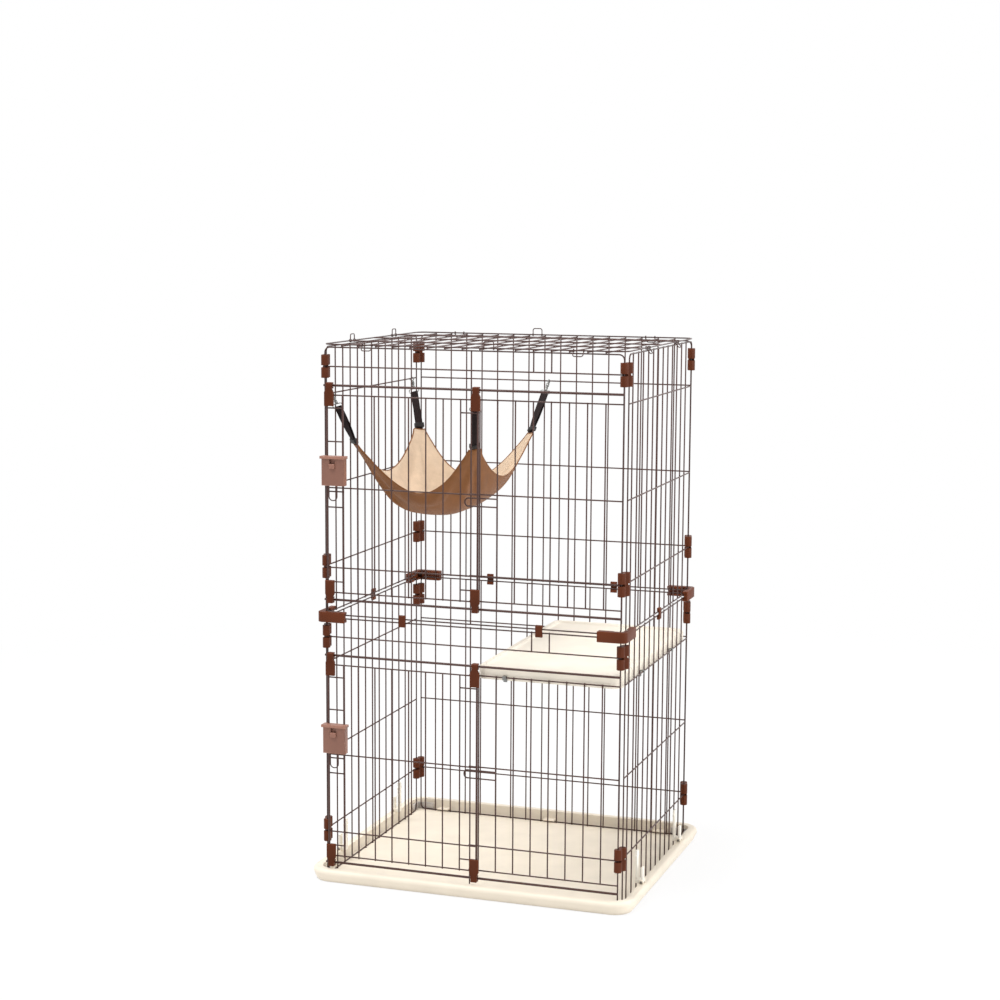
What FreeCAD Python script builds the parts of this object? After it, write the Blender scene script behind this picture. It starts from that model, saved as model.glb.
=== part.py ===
import FreeCAD, Part
import Sketcher
import math
import os
import re

# Two-tier wire cat cage: a moulded tray, two tiers of welded wire panels with a sliding door
# each, a wire roof with swinging hold-down loops, a shelf board and a cloth hammock.
# Millimetres, +Z up, origin on the floor under the middle of the tray, +Y towards the back.

SIZES = {
    # Wire mesh
    "wire_gauge": 3.0,
    "rail_gauge": 5.0,
    "stile_gauge": 4.5,
    "loop_gauge": 2.2,
    "front_pitch": 38.0,
    "front_spaces": 17,
    "side_pitch": 39.7,
    "side_spaces": 13,
    "side_setback": 18.0,
    "side_outset": 5.0,
    "panel_height": 564.0,
    "tier_gap": 7.6,
    "corner_bend": 11.0,
    # Heights above the bottom wire of a panel
    "low_rail": 33.0,
    "sill_wire": 49.0,
    "low_wire": 102.0,
    "mid_wire": 271.0,
    "keeper_low": 246.0,
    "keeper_high": 263.0,
    "keeper_reach": 12.0,
    # Depths below the top wire of a panel
    "high_wire_depth": 99.0,
    "top_rail_depth": 79.0,
    "tie_wire_depth": 40.0,
    # Sliding doors
    "door_stand_off": 6.8,
    "stile_inset": 8.7,
    "stile_spacing": 35.6,
    "door_overlap": 19.6,
    "rung_margin": 23.0,
    "rung_low": 230.0,
    "rung_mid": 263.0,
    "rung_high": 368.0,
    "rung_top_margin": 27.0,
    "runner_width": 20.0,
    "runner_length": 49.0,
    "runner_head": 13.0,
    "runner_taper": 7.0,
    "runner_depth": 7.8,
    "runner_lip": 3.6,
    "runner_bevel": 1.5,
    "runner_offset": 5.0,
    "running_gap": 0.4,
    # Door locks
    "case_width": 50.0,
    "case_height": 62.0,
    "case_depth": 18.0,
    "case_wall": 2.4,
    "case_bottom": 277.0,
    "case_bevel": 2.0,
    "case_lip": 2.5,
    "case_lip_height": 5.5,
    "thumb_width": 12.0,
    "thumb_height": 10.0,
    "thumb_rise": 36.0,
    "thumb_proud": 4.0,
    "lock_travel": 10.0,
    "lock_plate": 3.0,
    "lock_plate_rise": 9.0,
    "pull_width": 18.0,
    "pull_drop": 31.0,
    "pull_bend": 8.0,
    # Clips, brackets and sockets
    "fit_gap": 0.3,
    "clip_height": 48.0,
    "clip_lobe": 15.0,
    "clip_web": 9.0,
    "clip_slot": 4.6,
    "clip_core": 8.0,
    "bracket_front_arm": 62.0,
    "bracket_side_arm": 75.0,
    "bracket_height": 22.0,
    "bracket_reach": 15.5,
    "bracket_wall": 4.0,
    "bracket_bend": 12.0,
    "rail_clip_width": 15.0,
    "rail_clip_height": 25.0,
    "rail_clip_wall": 4.0,
    "rail_clip_place": 150.0,
    "socket_arm": 30.0,
    "socket_height": 16.0,
    "socket_wall": 4.0,
    "socket_bend": 6.0,
    # Tray
    "tray_side_margin": 30.0,
    "tray_front_margin": 31.7,
    "tray_height": 27.5,
    "tray_floor": 4.0,
    "tray_rim": 20.0,
    "tray_slope": 2.0,
    "tray_wall": 3.0,
    "tray_corner": 45.0,
    "tray_pocket_corner": 16.0,
    "tray_flare": 8.0,
    "tray_roll": 8.0,
    "tray_shoulder": 2.4,
    "tab_width": 28.0,
    "tab_thickness": 3.0,
    "tab_hold": 6.0,
    # Tray levers
    "lever_width": 14.0,
    "lever_height": 70.0,
    "lever_handle": 30.0,
    "lever_thickness": 4.0,
    "lever_barrel": 9.0,
    "lever_pin": 3.0,
    "lever_pin_gap": 0.15,
    "lever_nub": 3.0,
    "lever_nub_drop": 14.0,
    "lug_thickness": 4.0,
    # Shelf
    "shelf_left": 12.0,
    "shelf_gap": 1.5,
    "shelf_height": 27.0,
    "shelf_rise": 20.0,
    "shelf_rim": 14.0,
    "shelf_dish": 4.0,
    "shelf_skin": 3.0,
    "shelf_corner": 22.0,
    "shelf_bevel": 4.0,
    "shelf_rib": 2.5,
    "hook_width": 8.0,
    "hook_strip": 1.6,
    "hook_drop": 12.0,
    "hook_nose": 7.0,
    # Hammock
    "cloth_thickness": 4.0,
    "cloth_left": 292.0,
    "cloth_right": 24.0,
    "cloth_half_depth": 187.0,
    "cloth_hang": 112.0,
    "cloth_front_sag": 100.0,
    "cloth_front_draw": 20.0,
    "cloth_side_sag": 78.0,
    "cloth_side_spread": 12.0,
    "cloth_depth": 160.0,
    "strap_width": 16.0,
    "strap_thickness": 3.0,
    "strap_offset": 12.0,
    "snap_ring": 8.4,
    "snap_gauge": 2.0,
    "snap_shank": 16.0,
    "snap_barrel": 5.0,
    "snap_eye": 6.0,
    # Roof
    "roof_bend": 24.0,
    "roof_spaces": 4,
    "loop_width": 23.5,
    "loop_drop": 14.0,
    "loop_bend": 4.0,
    "loop_eye": 7.0,
    "loop_eye_length": 3.0,
    "loop_gap": 0.35,
}

WIRE_SIDES = 8
BENT_SIDES = 6
FLAT_TURN = 180.0 / WIRE_SIDES
CORNER_TO_FLAT = math.cos(math.radians(FLAT_TURN))
FACET_SHARE = 1 - math.tan(math.radians(22.5))
X_AXIS = FreeCAD.Vector(1, 0, 0)
Y_AXIS = FreeCAD.Vector(0, 1, 0)
Z_AXIS = FreeCAD.Vector(0, 0, 1)
FLAT = FreeCAD.Rotation()
FACING_FRONT = FreeCAD.Rotation(X_AXIS, 90)
FACING_SIDE = FreeCAD.Rotation(Y_AXIS, Z_AXIS, X_AXIS, "ZXY")
ALONG = {
    "x": FreeCAD.Rotation(Y_AXIS, 90),
    "y": FreeCAD.Rotation(X_AXIS, -90),
    "z": FreeCAD.Rotation(),
}
WORD = re.compile(r"[a-z_]+")

doc = FreeCAD.newDocument("cat_cage")
sheet = doc.addObject("Spreadsheet::Sheet", "sizes")
for row, (alias, value) in enumerate(SIZES.items(), start=1):
    sheet.set(f"A{row}", alias)
    sheet.set(f"B{row}", str(value))
    sheet.setAlias(f"B{row}", alias)
doc.recompute()

# Places that many pieces share, as formulas of the sheet's values
HALF_WIDTH = "(front_pitch * front_spaces / 2)"
HALF_SIDE = "(side_pitch * side_spaces / 2)"
HALF_DEPTH = f"({HALF_SIDE} + side_setback)"
SIDE_PLANE = f"({HALF_WIDTH} + side_outset)"
LOWER_BASE = "(tray_floor + wire_gauge / 2)"
UPPER_BASE = f"({LOWER_BASE} + panel_height + tier_gap)"
WALL_TOP = f"({UPPER_BASE} + panel_height)"
SEAM = f"({LOWER_BASE} + panel_height + tier_gap / 2)"
SEAM_ROOM = "(tier_gap + wire_gauge + 2 * fit_gap)"
SEAM_GRIP = "(wire_gauge / 2 - fit_gap)"
RAIL_LINE = f"(-{HALF_DEPTH} - wire_gauge / 2 - rail_gauge / 2)"
DOOR_LINE = f"(-{HALF_DEPTH} - door_stand_off)"
DOOR_LEFT = f"(-{HALF_WIDTH} + stile_inset)"
BORE = "(wire_gauge + 2 * fit_gap)"
TIERS = {"lower": LOWER_BASE, "upper": UPPER_BASE}
LEVELS = {
    "low_rail": "low_rail",
    "sill_wire": "sill_wire",
    "low_wire": "low_wire",
    "mid_wire": "mid_wire",
    "high_wire": "(panel_height - high_wire_depth)",
    "top_rail": "(panel_height - top_rail_depth)",
    "tie_wire": "(panel_height - tie_wire_depth)",
    "rung_bottom": "(sill_wire + rung_margin)",
    "rung_low": "rung_low",
    "rung_mid": "rung_mid",
    "rung_high": "rung_high",
    "rung_top": "(panel_height - high_wire_depth - rung_top_margin)",
}
HIGH_WIRE = LEVELS["high_wire"]
GRILLE_HEIGHT = f"({HIGH_WIRE} - sill_wire + wire_gauge)"


def size(alias):
    """A driving dimension as a plain number."""
    return float(sheet.get(alias))


def bound(formula):
    """A formula of aliases as an expression that reads the sheet."""
    return WORD.sub(lambda word: f"sizes.{word[0]}" if word[0] in SIZES else word[0], formula)


def bind(piece, **formulas):
    """Ties properties of a piece to formulas of the sheet."""
    for name, formula in formulas.items():
        piece.setExpression(name, bound(formula))


def place(piece, x, y, z, turn=FLAT):
    """Turns a piece and ties its position to formulas of the sheet."""
    piece.Placement = FreeCAD.Placement(FreeCAD.Vector(), turn)
    for axis, formula in zip("xyz", (x, y, z)):
        piece.setExpression(f"Placement.Base.{axis}", bound(formula))
    return piece


def mark(x, y, z):
    """A reference point bound to the sheet, as a vector."""
    vertex = place(doc.addObject("Part::Vertex", "mark"), x, y, z)
    vertex.recompute()
    return vertex.Placement.Base


def number(formula):
    """The present value of one formula."""
    return mark(formula, "0", "0").x


def rod(name, gauge, length, x, y, z, along):
    """A straight eight-sided wire from a point along one axis, its flats square to the axes."""
    wire = doc.addObject("Part::Prism", name)
    wire.Polygon = WIRE_SIDES
    bind(wire, Circumradius=f"({gauge}) / 2 / {CORNER_TO_FLAT}", Height=length)
    return place(wire, x, y, z, ALONG[along] * FreeCAD.Rotation(Z_AXIS, FLAT_TURN))


def box(name, x, y, z, length, width, height):
    """A block given by its lowest corner and its three sides."""
    block = doc.addObject("Part::Box", name)
    bind(block, Length=length, Width=width, Height=height)
    return place(block, x, y, z)


def group(name, pieces):
    """Separate solids that make one sub-part."""
    whole = doc.addObject("Part::Compound", name)
    whole.Links = pieces
    return whole


def joined(name, pieces):
    """One solid from several."""
    whole = doc.addObject("Part::MultiFuse", name)
    whole.Shapes = pieces
    whole.Refine = True
    return whole


def cut(name, base, tools):
    """A solid less its tools."""
    whole = doc.addObject("Part::Cut", name)
    whole.Base = base
    whole.Tool = tools[0] if len(tools) == 1 else joined(f"{name}_tools", tools)
    return whole


def mirrored(name, source, normal):
    """A mirror image through the origin."""
    image = doc.addObject("Part::Mirroring", name)
    image.Source = source
    image.Normal = normal
    return image


def copied(name, source, x, y, z, turn=FLAT):
    """A copy of a form, moved to its place."""
    return place(group(name, [source]), x, y, z, turn)


def four_corners(name, source):
    """A form at the front right corner and its images at the other three."""
    left = mirrored(f"{name}_front_left", source, X_AXIS)
    back = mirrored(f"{name}_back_right", source, Y_AXIS)
    return [source, left, back, mirrored(f"{name}_back_left", left, Y_AXIS)]


def eased(kind, name, base, amount, pick):
    """A solid with the chosen edges rounded (Part::Fillet) or bevelled (Part::Chamfer)."""
    doc.recompute()
    numbers = [n for n, edge in enumerate(base.Shape.Edges, start=1) if pick(edge)]
    piece = doc.addObject(kind, name)
    piece.Base = base
    piece.Edges = [(n, amount, amount) for n in numbers]
    return piece


def edges_at(**places):
    """Chooses the edges whose ends lie at the given places across X, Y or Z."""
    def lies_there(edge):
        ends = [vertex.Point for vertex in edge.Vertexes]
        return all(abs(getattr(end, axis) - value) < 0.001 for axis, value in places.items() for end in ends)
    return lies_there


def rounded_outline(name, half_length, half_width, corner, x, y, z, turn=FLAT):
    """A closed sketch of a rectangle with round corners, centred on its own origin."""
    sketch = doc.addObject("Sketcher::SketchObject", name)
    reach, rise, bend = 200.0, 150.0, 10.0
    arcs = []
    for quarter, (cx, cy) in enumerate([(1, -1), (1, 1), (-1, 1), (-1, -1)], start=-1):
        middle = FreeCAD.Vector(cx * (reach - bend), cy * (rise - bend), 0)
        start = math.radians(90 * quarter)
        arcs.append(Part.ArcOfCircle(Part.Circle(middle, Z_AXIS, bend), start, start + math.pi / 2))
    for index, arc in enumerate(arcs):
        sketch.addGeometry(Part.LineSegment(arcs[index - 1].EndPoint, arc.StartPoint))
        sketch.addGeometry(arc)
    count = 2 * len(arcs)
    for line in range(0, count, 2):
        sketch.addConstraint(Sketcher.Constraint("Tangent", line, 2, line + 1, 1))
        sketch.addConstraint(Sketcher.Constraint("Tangent", line + 1, 2, (line + 2) % count, 1))
        sketch.addConstraint(Sketcher.Constraint("Horizontal" if line % 4 == 0 else "Vertical", line))
    for arc in range(3, count, 2):
        sketch.addConstraint(Sketcher.Constraint("Equal", 1, arc))
    datums = [
        ("corner", ("Radius", 1, bend), corner),
        ("right", ("DistanceX", -1, 1, 2, 1, reach), half_length),
        ("left", ("DistanceX", 6, 1, -1, 1, reach), half_length),
        ("up", ("DistanceY", -1, 1, 4, 1, rise), half_width),
        ("down", ("DistanceY", 0, 1, -1, 1, rise), half_width),
    ]
    for label, values, formula in datums:
        sketch.renameConstraint(sketch.addConstraint(Sketcher.Constraint(*values)), label)
        sketch.setExpression(f"Constraints.{label}", bound(formula))
    return place(sketch, x, y, z, turn)


def bent_outline(name, half_length, half_width, corner, x, y, z, turn):
    """A closed sketch of a rectangle whose corners are bent in two facets, centred on its own origin."""
    sketch = doc.addObject("Sketcher::SketchObject", name)
    reach, rise, facet = 200.0, 150.0, 10.0
    spots = []
    for cx, cy in [(1, -1), (1, 1), (-1, 1), (-1, -1)]:
        flat_end = FreeCAD.Vector(cx * (reach - facet), cy * rise, 0)
        steep_end = FreeCAD.Vector(cx * reach, cy * (rise - facet), 0)
        spots += [flat_end, steep_end] if cx * cy < 0 else [steep_end, flat_end]
    for index, spot in enumerate(spots):
        sketch.addGeometry(Part.LineSegment(spots[index - 1], spot))
    count = len(spots)
    for line in range(count):
        sketch.addConstraint(Sketcher.Constraint("Coincident", line, 2, (line + 1) % count, 1))
    for line in range(0, count, 2):
        sketch.addConstraint(Sketcher.Constraint("Horizontal" if line % 4 == 0 else "Vertical", line))
    datums = [
        ("right", ("DistanceX", -1, 1, 2, 1, reach), half_length),
        ("left", ("DistanceX", 6, 1, -1, 1, reach), half_length),
        ("up", ("DistanceY", -1, 1, 4, 1, rise), half_width),
        ("down", ("DistanceY", 0, 1, -1, 1, rise), half_width),
    ]
    for line, (first, last) in zip((1, 3, 5, 7), ((1, 2), (2, 1), (2, 1), (1, 2))):
        datums.append((f"run_{line}", ("DistanceX", line, first, line, last, facet), corner))
    for line, (first, last) in zip((1, 3, 5, 7), ((1, 2), (1, 2), (2, 1), (2, 1))):
        datums.append((f"rise_{line}", ("DistanceY", line, first, line, last, facet), corner))
    for label, values, formula in datums:
        sketch.renameConstraint(sketch.addConstraint(Sketcher.Constraint(*values)), label)
        sketch.setExpression(f"Constraints.{label}", bound(formula))
    return place(sketch, x, y, z, turn)


def bent_loop(name, half_length, half_width, x, y, z, turn=FLAT, bend="corner_bend",
              kind="Part::RegularPolygon"):
    """A panel's border: one wire, eight-sided or round (Part::Circle), bent into a rectangle and welded."""
    facet = f"({bend} * {FACET_SHARE})"
    path = bent_outline(f"{name}_path", half_length, half_width, facet, x, y, z, turn)
    section = doc.addObject(kind, f"{name}_section")
    if kind == "Part::Circle":
        bind(section, Radius="wire_gauge / 2")
    else:
        section.Polygon = WIRE_SIDES
        bind(section, Circumradius=f"wire_gauge / 2 / {CORNER_TO_FLAT}")
    starts = []
    for centre, across, upward in zip((x, y, z), turn.multVec(X_AXIS), turn.multVec(Y_AXIS)):
        run = f"{round(across)} * ({facet} - {half_length})"
        starts.append(f"{centre} + {run} - {round(upward)} * {half_width}")
    place(section, *starts, turn * ALONG["x"] * FreeCAD.Rotation(Z_AXIS, FLAT_TURN))
    sweep = doc.addObject("Part::Sweep", name)
    sweep.Sections = [section]
    sweep.Spine = (path, [f"Edge{n}" for n in range(1, 9)])
    sweep.Transition = "Right corner"
    sweep.Solid = True
    return sweep


def extruded(name, outline, height):
    """A plate of the given height above its outline."""
    plate = doc.addObject("Part::Extrusion", name)
    plate.Base = outline
    plate.DirMode = "Custom"
    plate.Dir = Z_AXIS
    plate.Solid = True
    bind(plate, LengthFwd=height)
    return plate


def lofted(name, outlines):
    """A solid with straight walls from outline to outline."""
    solid = doc.addObject("Part::Loft", name)
    solid.Sections = outlines
    solid.Solid = True
    solid.Ruled = True
    return solid


def ring_of_flats(centre, gauge, first, second):
    """The six-sided section of a bent wire, one flat square to the first of the two given directions."""
    half_turn = math.pi / BENT_SIDES
    corners = []
    for step in range(BENT_SIDES + 1):
        angle = half_turn * (2 * step + 1)
        ray = first * math.cos(angle) + second * math.sin(angle)
        corners.append(centre + ray * (gauge / 2 / math.cos(half_turn)))
    return Part.makePolygon(corners)


def bent_wire(points, gauge, bend):
    """A wire bent along points that lie in one plane, each bend made in two facets."""
    first = (points[1] - points[0]).normalize()
    square = first.cross(points[2] - points[1]).normalize()
    section = ring_of_flats(points[0], gauge, square, square.cross(first))
    route = [points[0]]
    for before, corner, after in zip(points, points[1:], points[2:]):
        came = (corner - before).normalize()
        goes = (after - corner).normalize()
        half_turn = came.getAngle(goes) / 2
        reach = bend * (math.tan(half_turn) - math.tan(half_turn / 2))
        route += [corner - came * reach, corner + goes * reach]
    route.append(points[-1])
    return swept(route, section)


def swept(route, section):
    """A section carried along straight runs, mitred where they meet."""
    right_corner = 1
    return Part.makePolygon(route).makePipeShell([section], True, False, right_corner)


def flat_face(corners):
    """A flat between corners that lie in one plane."""
    return Part.Face(Part.makePolygon(corners + corners[:1]))


def plate(centre, across, width, along, length, square, thickness):
    """A flat bar about a centre, given three directions square to each other and its sizes along them."""
    start = centre - across * (width / 2) - along * (length / 2) - square * (thickness / 2)
    far = start + along * length
    ends = [start, start + across * width, far + across * width, far]
    return flat_face(ends).extrude(square * thickness)


def shaped(name, shape):
    """A piece whose form is worked out here from the sheet's values."""
    piece = doc.addObject("Part::Feature", name)
    piece.Shape = shape
    return piece


def front_upright(index):
    """The X of a wire of the front and back mesh, counted from the left post."""
    return f"({index} - front_spaces / 2) * front_pitch"


def side_upright(index):
    """The Y of a wire of the side mesh, counted from the front post."""
    return f"({index} - side_spaces / 2) * side_pitch"


def back_panel(tier, base):
    """Back wall: border, cross wires between the posts, upright wires on the inside."""
    name = f"{tier}_back_panel"
    pieces = [bent_loop(f"{name}_border", HALF_WIDTH, "(panel_height / 2)", "0", HALF_DEPTH,
                        f"{base} + panel_height / 2", FACING_FRONT)]
    for level in ("low_wire", "mid_wire", "high_wire"):
        pieces.append(rod(f"{name}_{level}", "wire_gauge", f"2 * {HALF_WIDTH} - wire_gauge",
                          f"wire_gauge / 2 - {HALF_WIDTH}", HALF_DEPTH, f"{base} + {LEVELS[level]}", "x"))
    for index in range(1, int(size("front_spaces"))):
        pieces.append(rod(f"{name}_upright_{index}", "wire_gauge", "panel_height + wire_gauge",
                          front_upright(index), f"{HALF_DEPTH} - wire_gauge",
                          f"{base} - wire_gauge / 2", "z"))
    return group(name, pieces)


def side_panel(tier, base, side, sign):
    """Side wall: border, cross wires between the posts, upright wires on the inside."""
    name = f"{tier}_{side}_panel"
    plane = f"{sign} * {SIDE_PLANE}"
    pieces = [bent_loop(f"{name}_border", HALF_SIDE, "(panel_height / 2)", plane, "0",
                        f"{base} + panel_height / 2", FACING_SIDE)]
    for level in ("low_wire", "mid_wire", "high_wire"):
        pieces.append(rod(f"{name}_{level}", "wire_gauge", f"2 * {HALF_SIDE} - wire_gauge", plane,
                          f"wire_gauge / 2 - {HALF_SIDE}", f"{base} + {LEVELS[level]}", "y"))
    for index in range(1, int(size("side_spaces"))):
        pieces.append(rod(f"{name}_upright_{index}", "wire_gauge", "panel_height + wire_gauge",
                          f"{plane} - {sign} * wire_gauge", side_upright(index),
                          f"{base} - wire_gauge / 2", "z"))
    return group(name, pieces)


def front_panel(tier, base):
    """Front wall: border, two thick door rails, a grille on the right half and a keeper wire."""
    name = f"{tier}_front_panel"
    plane = f"-{HALF_DEPTH}"
    inside = f"wire_gauge - {HALF_DEPTH}"
    spaces = int(size("front_spaces"))
    pieces = [bent_loop(f"{name}_border", HALF_WIDTH, "(panel_height / 2)", "0", plane,
                        f"{base} + panel_height / 2", FACING_FRONT)]
    pieces.append(rod(f"{name}_tie_wire", "wire_gauge", f"2 * {HALF_WIDTH} - wire_gauge",
                      f"wire_gauge / 2 - {HALF_WIDTH}", plane,
                      f"{base} + {LEVELS['tie_wire']}", "x"))
    for level in ("low_rail", "top_rail"):
        pieces.append(rod(f"{name}_{level}", "rail_gauge", f"2 * {HALF_WIDTH} + wire_gauge",
                          f"-{HALF_WIDTH} - wire_gauge / 2", RAIL_LINE, f"{base} + {LEVELS[level]}", "x"))
    pieces.append(rod(f"{name}_centre_post", "wire_gauge", "panel_height + wire_gauge", "0", inside,
                      f"{base} - wire_gauge / 2", "z"))
    for level in ("sill_wire", "low_wire", "mid_wire", "high_wire"):
        pieces.append(rod(f"{name}_{level}", "wire_gauge", HALF_WIDTH, "-wire_gauge / 2", plane,
                          f"{base} + {LEVELS[level]}", "x"))
    for index in range(spaces // 2 + 1, spaces):
        pieces.append(rod(f"{name}_upright_{index}", "wire_gauge", GRILLE_HEIGHT, front_upright(index),
                          inside, f"{base} + sill_wire - wire_gauge / 2", "z"))
    for index in (spaces - 5, spaces - 4):
        pieces.append(rod(f"{name}_tie_{index}", "wire_gauge", "tie_wire_depth + wire_gauge",
                          front_upright(index), inside,
                          f"{base} + {LEVELS['tie_wire']} - wire_gauge / 2", "z"))
    end = f"{front_upright(spaces // 2 + 2)} + wire_gauge / 2"
    corners = [(end, "keeper_low"), ("-keeper_reach", "keeper_low"),
               ("-keeper_reach", "keeper_high"), (end, "keeper_high")]
    route = [mark(x, plane, f"{base} + {level}") for x, level in corners]
    bend = (size("keeper_high") - size("keeper_low")) / 2 - size("fit_gap")
    pieces.append(shaped(f"{name}_keeper", bent_wire(route, size("wire_gauge"), bend)))
    return group(name, pieces)


def door_mesh(tier, base):
    """Sliding door: cross wires, bars in front of them, two thick stiles with rungs on the left."""
    name = f"{tier}_door_mesh"
    pieces = []
    for level in ("sill_wire", "low_wire", "mid_wire", "high_wire"):
        pieces.append(rod(f"{name}_{level}", "wire_gauge", f"door_overlap - {DOOR_LEFT}", DOOR_LEFT,
                          DOOR_LINE, f"{base} + {LEVELS[level]}", "x"))
    bars = [(DOOR_LEFT, "stile_gauge"), (f"{DOOR_LEFT} + stile_spacing", "stile_gauge"),
            ("door_overlap", "stile_gauge")]
    open_width = number(f"door_overlap - {DOOR_LEFT} - stile_spacing")
    for index in range(1, round(open_width / size("front_pitch"))):
        bars.append((f"door_overlap - {index} * front_pitch", "wire_gauge"))
    for index, (x, gauge) in enumerate(bars):
        pieces.append(rod(f"{name}_bar_{index}", gauge, GRILLE_HEIGHT, x,
                          f"{DOOR_LINE} - wire_gauge / 2 - {gauge} / 2",
                          f"{base} + sill_wire - wire_gauge / 2", "z"))
    for level in ("rung_bottom", "rung_low", "rung_mid", "rung_high", "rung_top"):
        pieces.append(rod(f"{name}_left_{level}", "wire_gauge", "stile_spacing", DOOR_LEFT, DOOR_LINE,
                          f"{base} + {LEVELS[level]}", "x"))
    for level in ("rung_bottom", "rung_top"):
        pieces.append(rod(f"{name}_right_{level}", "wire_gauge", "front_pitch",
                          "door_overlap - front_pitch", DOOR_LINE, f"{base} + {LEVELS[level]}", "x"))
    return group(name, pieces)


def runner_form():
    """Runner on the left of a top rail: a grip on the stile, a tapered neck and a hooked head."""
    back = "(rail_gauge / 2 - door_stand_off - fit_gap)"
    front = f"({back} - runner_depth)"
    head_top = "(rail_gauge / 2 + running_gap + runner_lip)"
    grip_top = f"(-{head_top} - runner_taper)"
    grip = box("runner_grip", "-runner_width / 2", front, f"{head_top} - runner_length",
               "runner_width", "runner_depth", f"{grip_top} - {head_top} + runner_length")
    neck = doc.addObject("Part::Wedge", "runner_neck")
    bind(neck, Xmin="-runner_width / 2", Xmax="runner_width / 2", X2min="-runner_head / 2",
         X2max="runner_head / 2", Ymin="0", Ymax="runner_taper", Zmin="-runner_depth", Zmax="0",
         Z2min="-runner_depth", Z2max="0")
    place(neck, "0", front, grip_top, FACING_FRONT)
    head = box("runner_hook", "-runner_head / 2", front, f"-{head_top}", "runner_head",
               f"rail_gauge / 2 - running_gap - {front}", f"2 * {head_top}")
    body = joined("runner_body", [grip, neck, head])
    slot = box("runner_slot", "-runner_width", "-rail_gauge / 2 - running_gap",
               "-rail_gauge / 2 - running_gap", "2 * runner_width", "2 * rail_gauge",
               "rail_gauge + 2 * running_gap")
    groove = box("runner_groove", "-runner_offset - stile_gauge / 2 - fit_gap",
                 f"{back} - stile_gauge", "-2 * runner_length", "stile_gauge + 2 * fit_gap",
                 "2 * stile_gauge", "2 * runner_length + wire_gauge / 2 + fit_gap"
                 " - min(sill_wire - low_rail; high_wire_depth - top_rail_depth)")
    bare = cut("runner_cut", body, [slot, groove])
    return eased("Part::Chamfer", "runner_form", bare, size("runner_bevel"), edges_at(y=number(front)))


def door_runners(tier, base, forms):
    """The four runners of a door, one at each corner of its mesh."""
    name = f"{tier}_door_runners"
    pieces = []
    for level, ends in forms.items():
        for form, x in zip(ends, (f"{DOOR_LEFT} + runner_offset", "door_overlap - runner_offset")):
            pieces.append(copied(f"{tier}_{form.Name}", form, x, RAIL_LINE, f"{base} + {LEVELS[level]}"))
    return group(name, pieces)


LOCK_CENTRE = f"({DOOR_LEFT} + stile_spacing / 2)"
LOCK_BACK = f"({DOOR_LINE} - wire_gauge / 2 - fit_gap)"
LOCK_FRONT = f"({LOCK_BACK} - case_depth)"
LOCK_PLATE_FRONT = f"({LOCK_FRONT} + case_wall + fit_gap)"
PULL_LINE = f"({LOCK_PLATE_FRONT} + lock_plate / 2)"


def lock_case(tier, base):
    """Hollow lock case with a lip round its top, a window for the thumb tab and notches for the stiles."""
    name = f"{tier}_lock_case"
    floor = f"({base} + case_bottom)"
    block = box(f"{name}_block", f"{LOCK_CENTRE} - case_width / 2", LOCK_FRONT, floor, "case_width",
                "case_depth", "case_height")
    front = eased("Part::Chamfer", f"{name}_front", block, size("case_bevel"),
                  edges_at(y=number(LOCK_FRONT)))
    lip = box(f"{name}_lip", f"{LOCK_CENTRE} - case_width / 2 - case_lip", f"{LOCK_FRONT} - case_lip",
              f"{floor} + case_height - case_lip_height", "case_width + 2 * case_lip",
              "case_depth + case_lip", "case_lip_height")
    outside = joined(f"{name}_outside", [front, lip])
    hollow = box(f"{name}_hollow", f"{LOCK_CENTRE} - case_width / 2 + case_wall",
                 f"{LOCK_FRONT} + case_wall", f"{floor} + case_wall", "case_width - 2 * case_wall",
                 "case_depth", "case_height - 2 * case_wall")
    window = box(f"{name}_window", f"{LOCK_CENTRE} - thumb_width / 2 - fit_gap",
                 f"{LOCK_FRONT} - case_wall", f"{floor} + thumb_rise - fit_gap",
                 "thumb_width + 2 * fit_gap", "3 * case_wall", "thumb_height + lock_travel + 2 * fit_gap")
    mouth = box(f"{name}_mouth", f"{LOCK_CENTRE} - pull_width / 2 - loop_gauge / 2 - fit_gap",
                f"{PULL_LINE} - loop_gauge / 2 - fit_gap", f"{floor} - case_wall",
                "pull_width + loop_gauge + 2 * fit_gap", "loop_gauge + 2 * fit_gap", "3 * case_wall")
    tools = [hollow, window, mouth]
    for side, sign in (("left", -1), ("right", 1)):
        tools.append(box(f"{name}_{side}_notch",
                         f"{LOCK_CENTRE} + {sign} * stile_spacing / 2 - stile_gauge / 2 - fit_gap",
                         f"{LOCK_BACK} - stile_gauge", f"{floor} - case_wall",
                         "stile_gauge + 2 * fit_gap", "2 * stile_gauge", "case_height + 2 * case_wall"))
    return cut(name, outside, tools)


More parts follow.
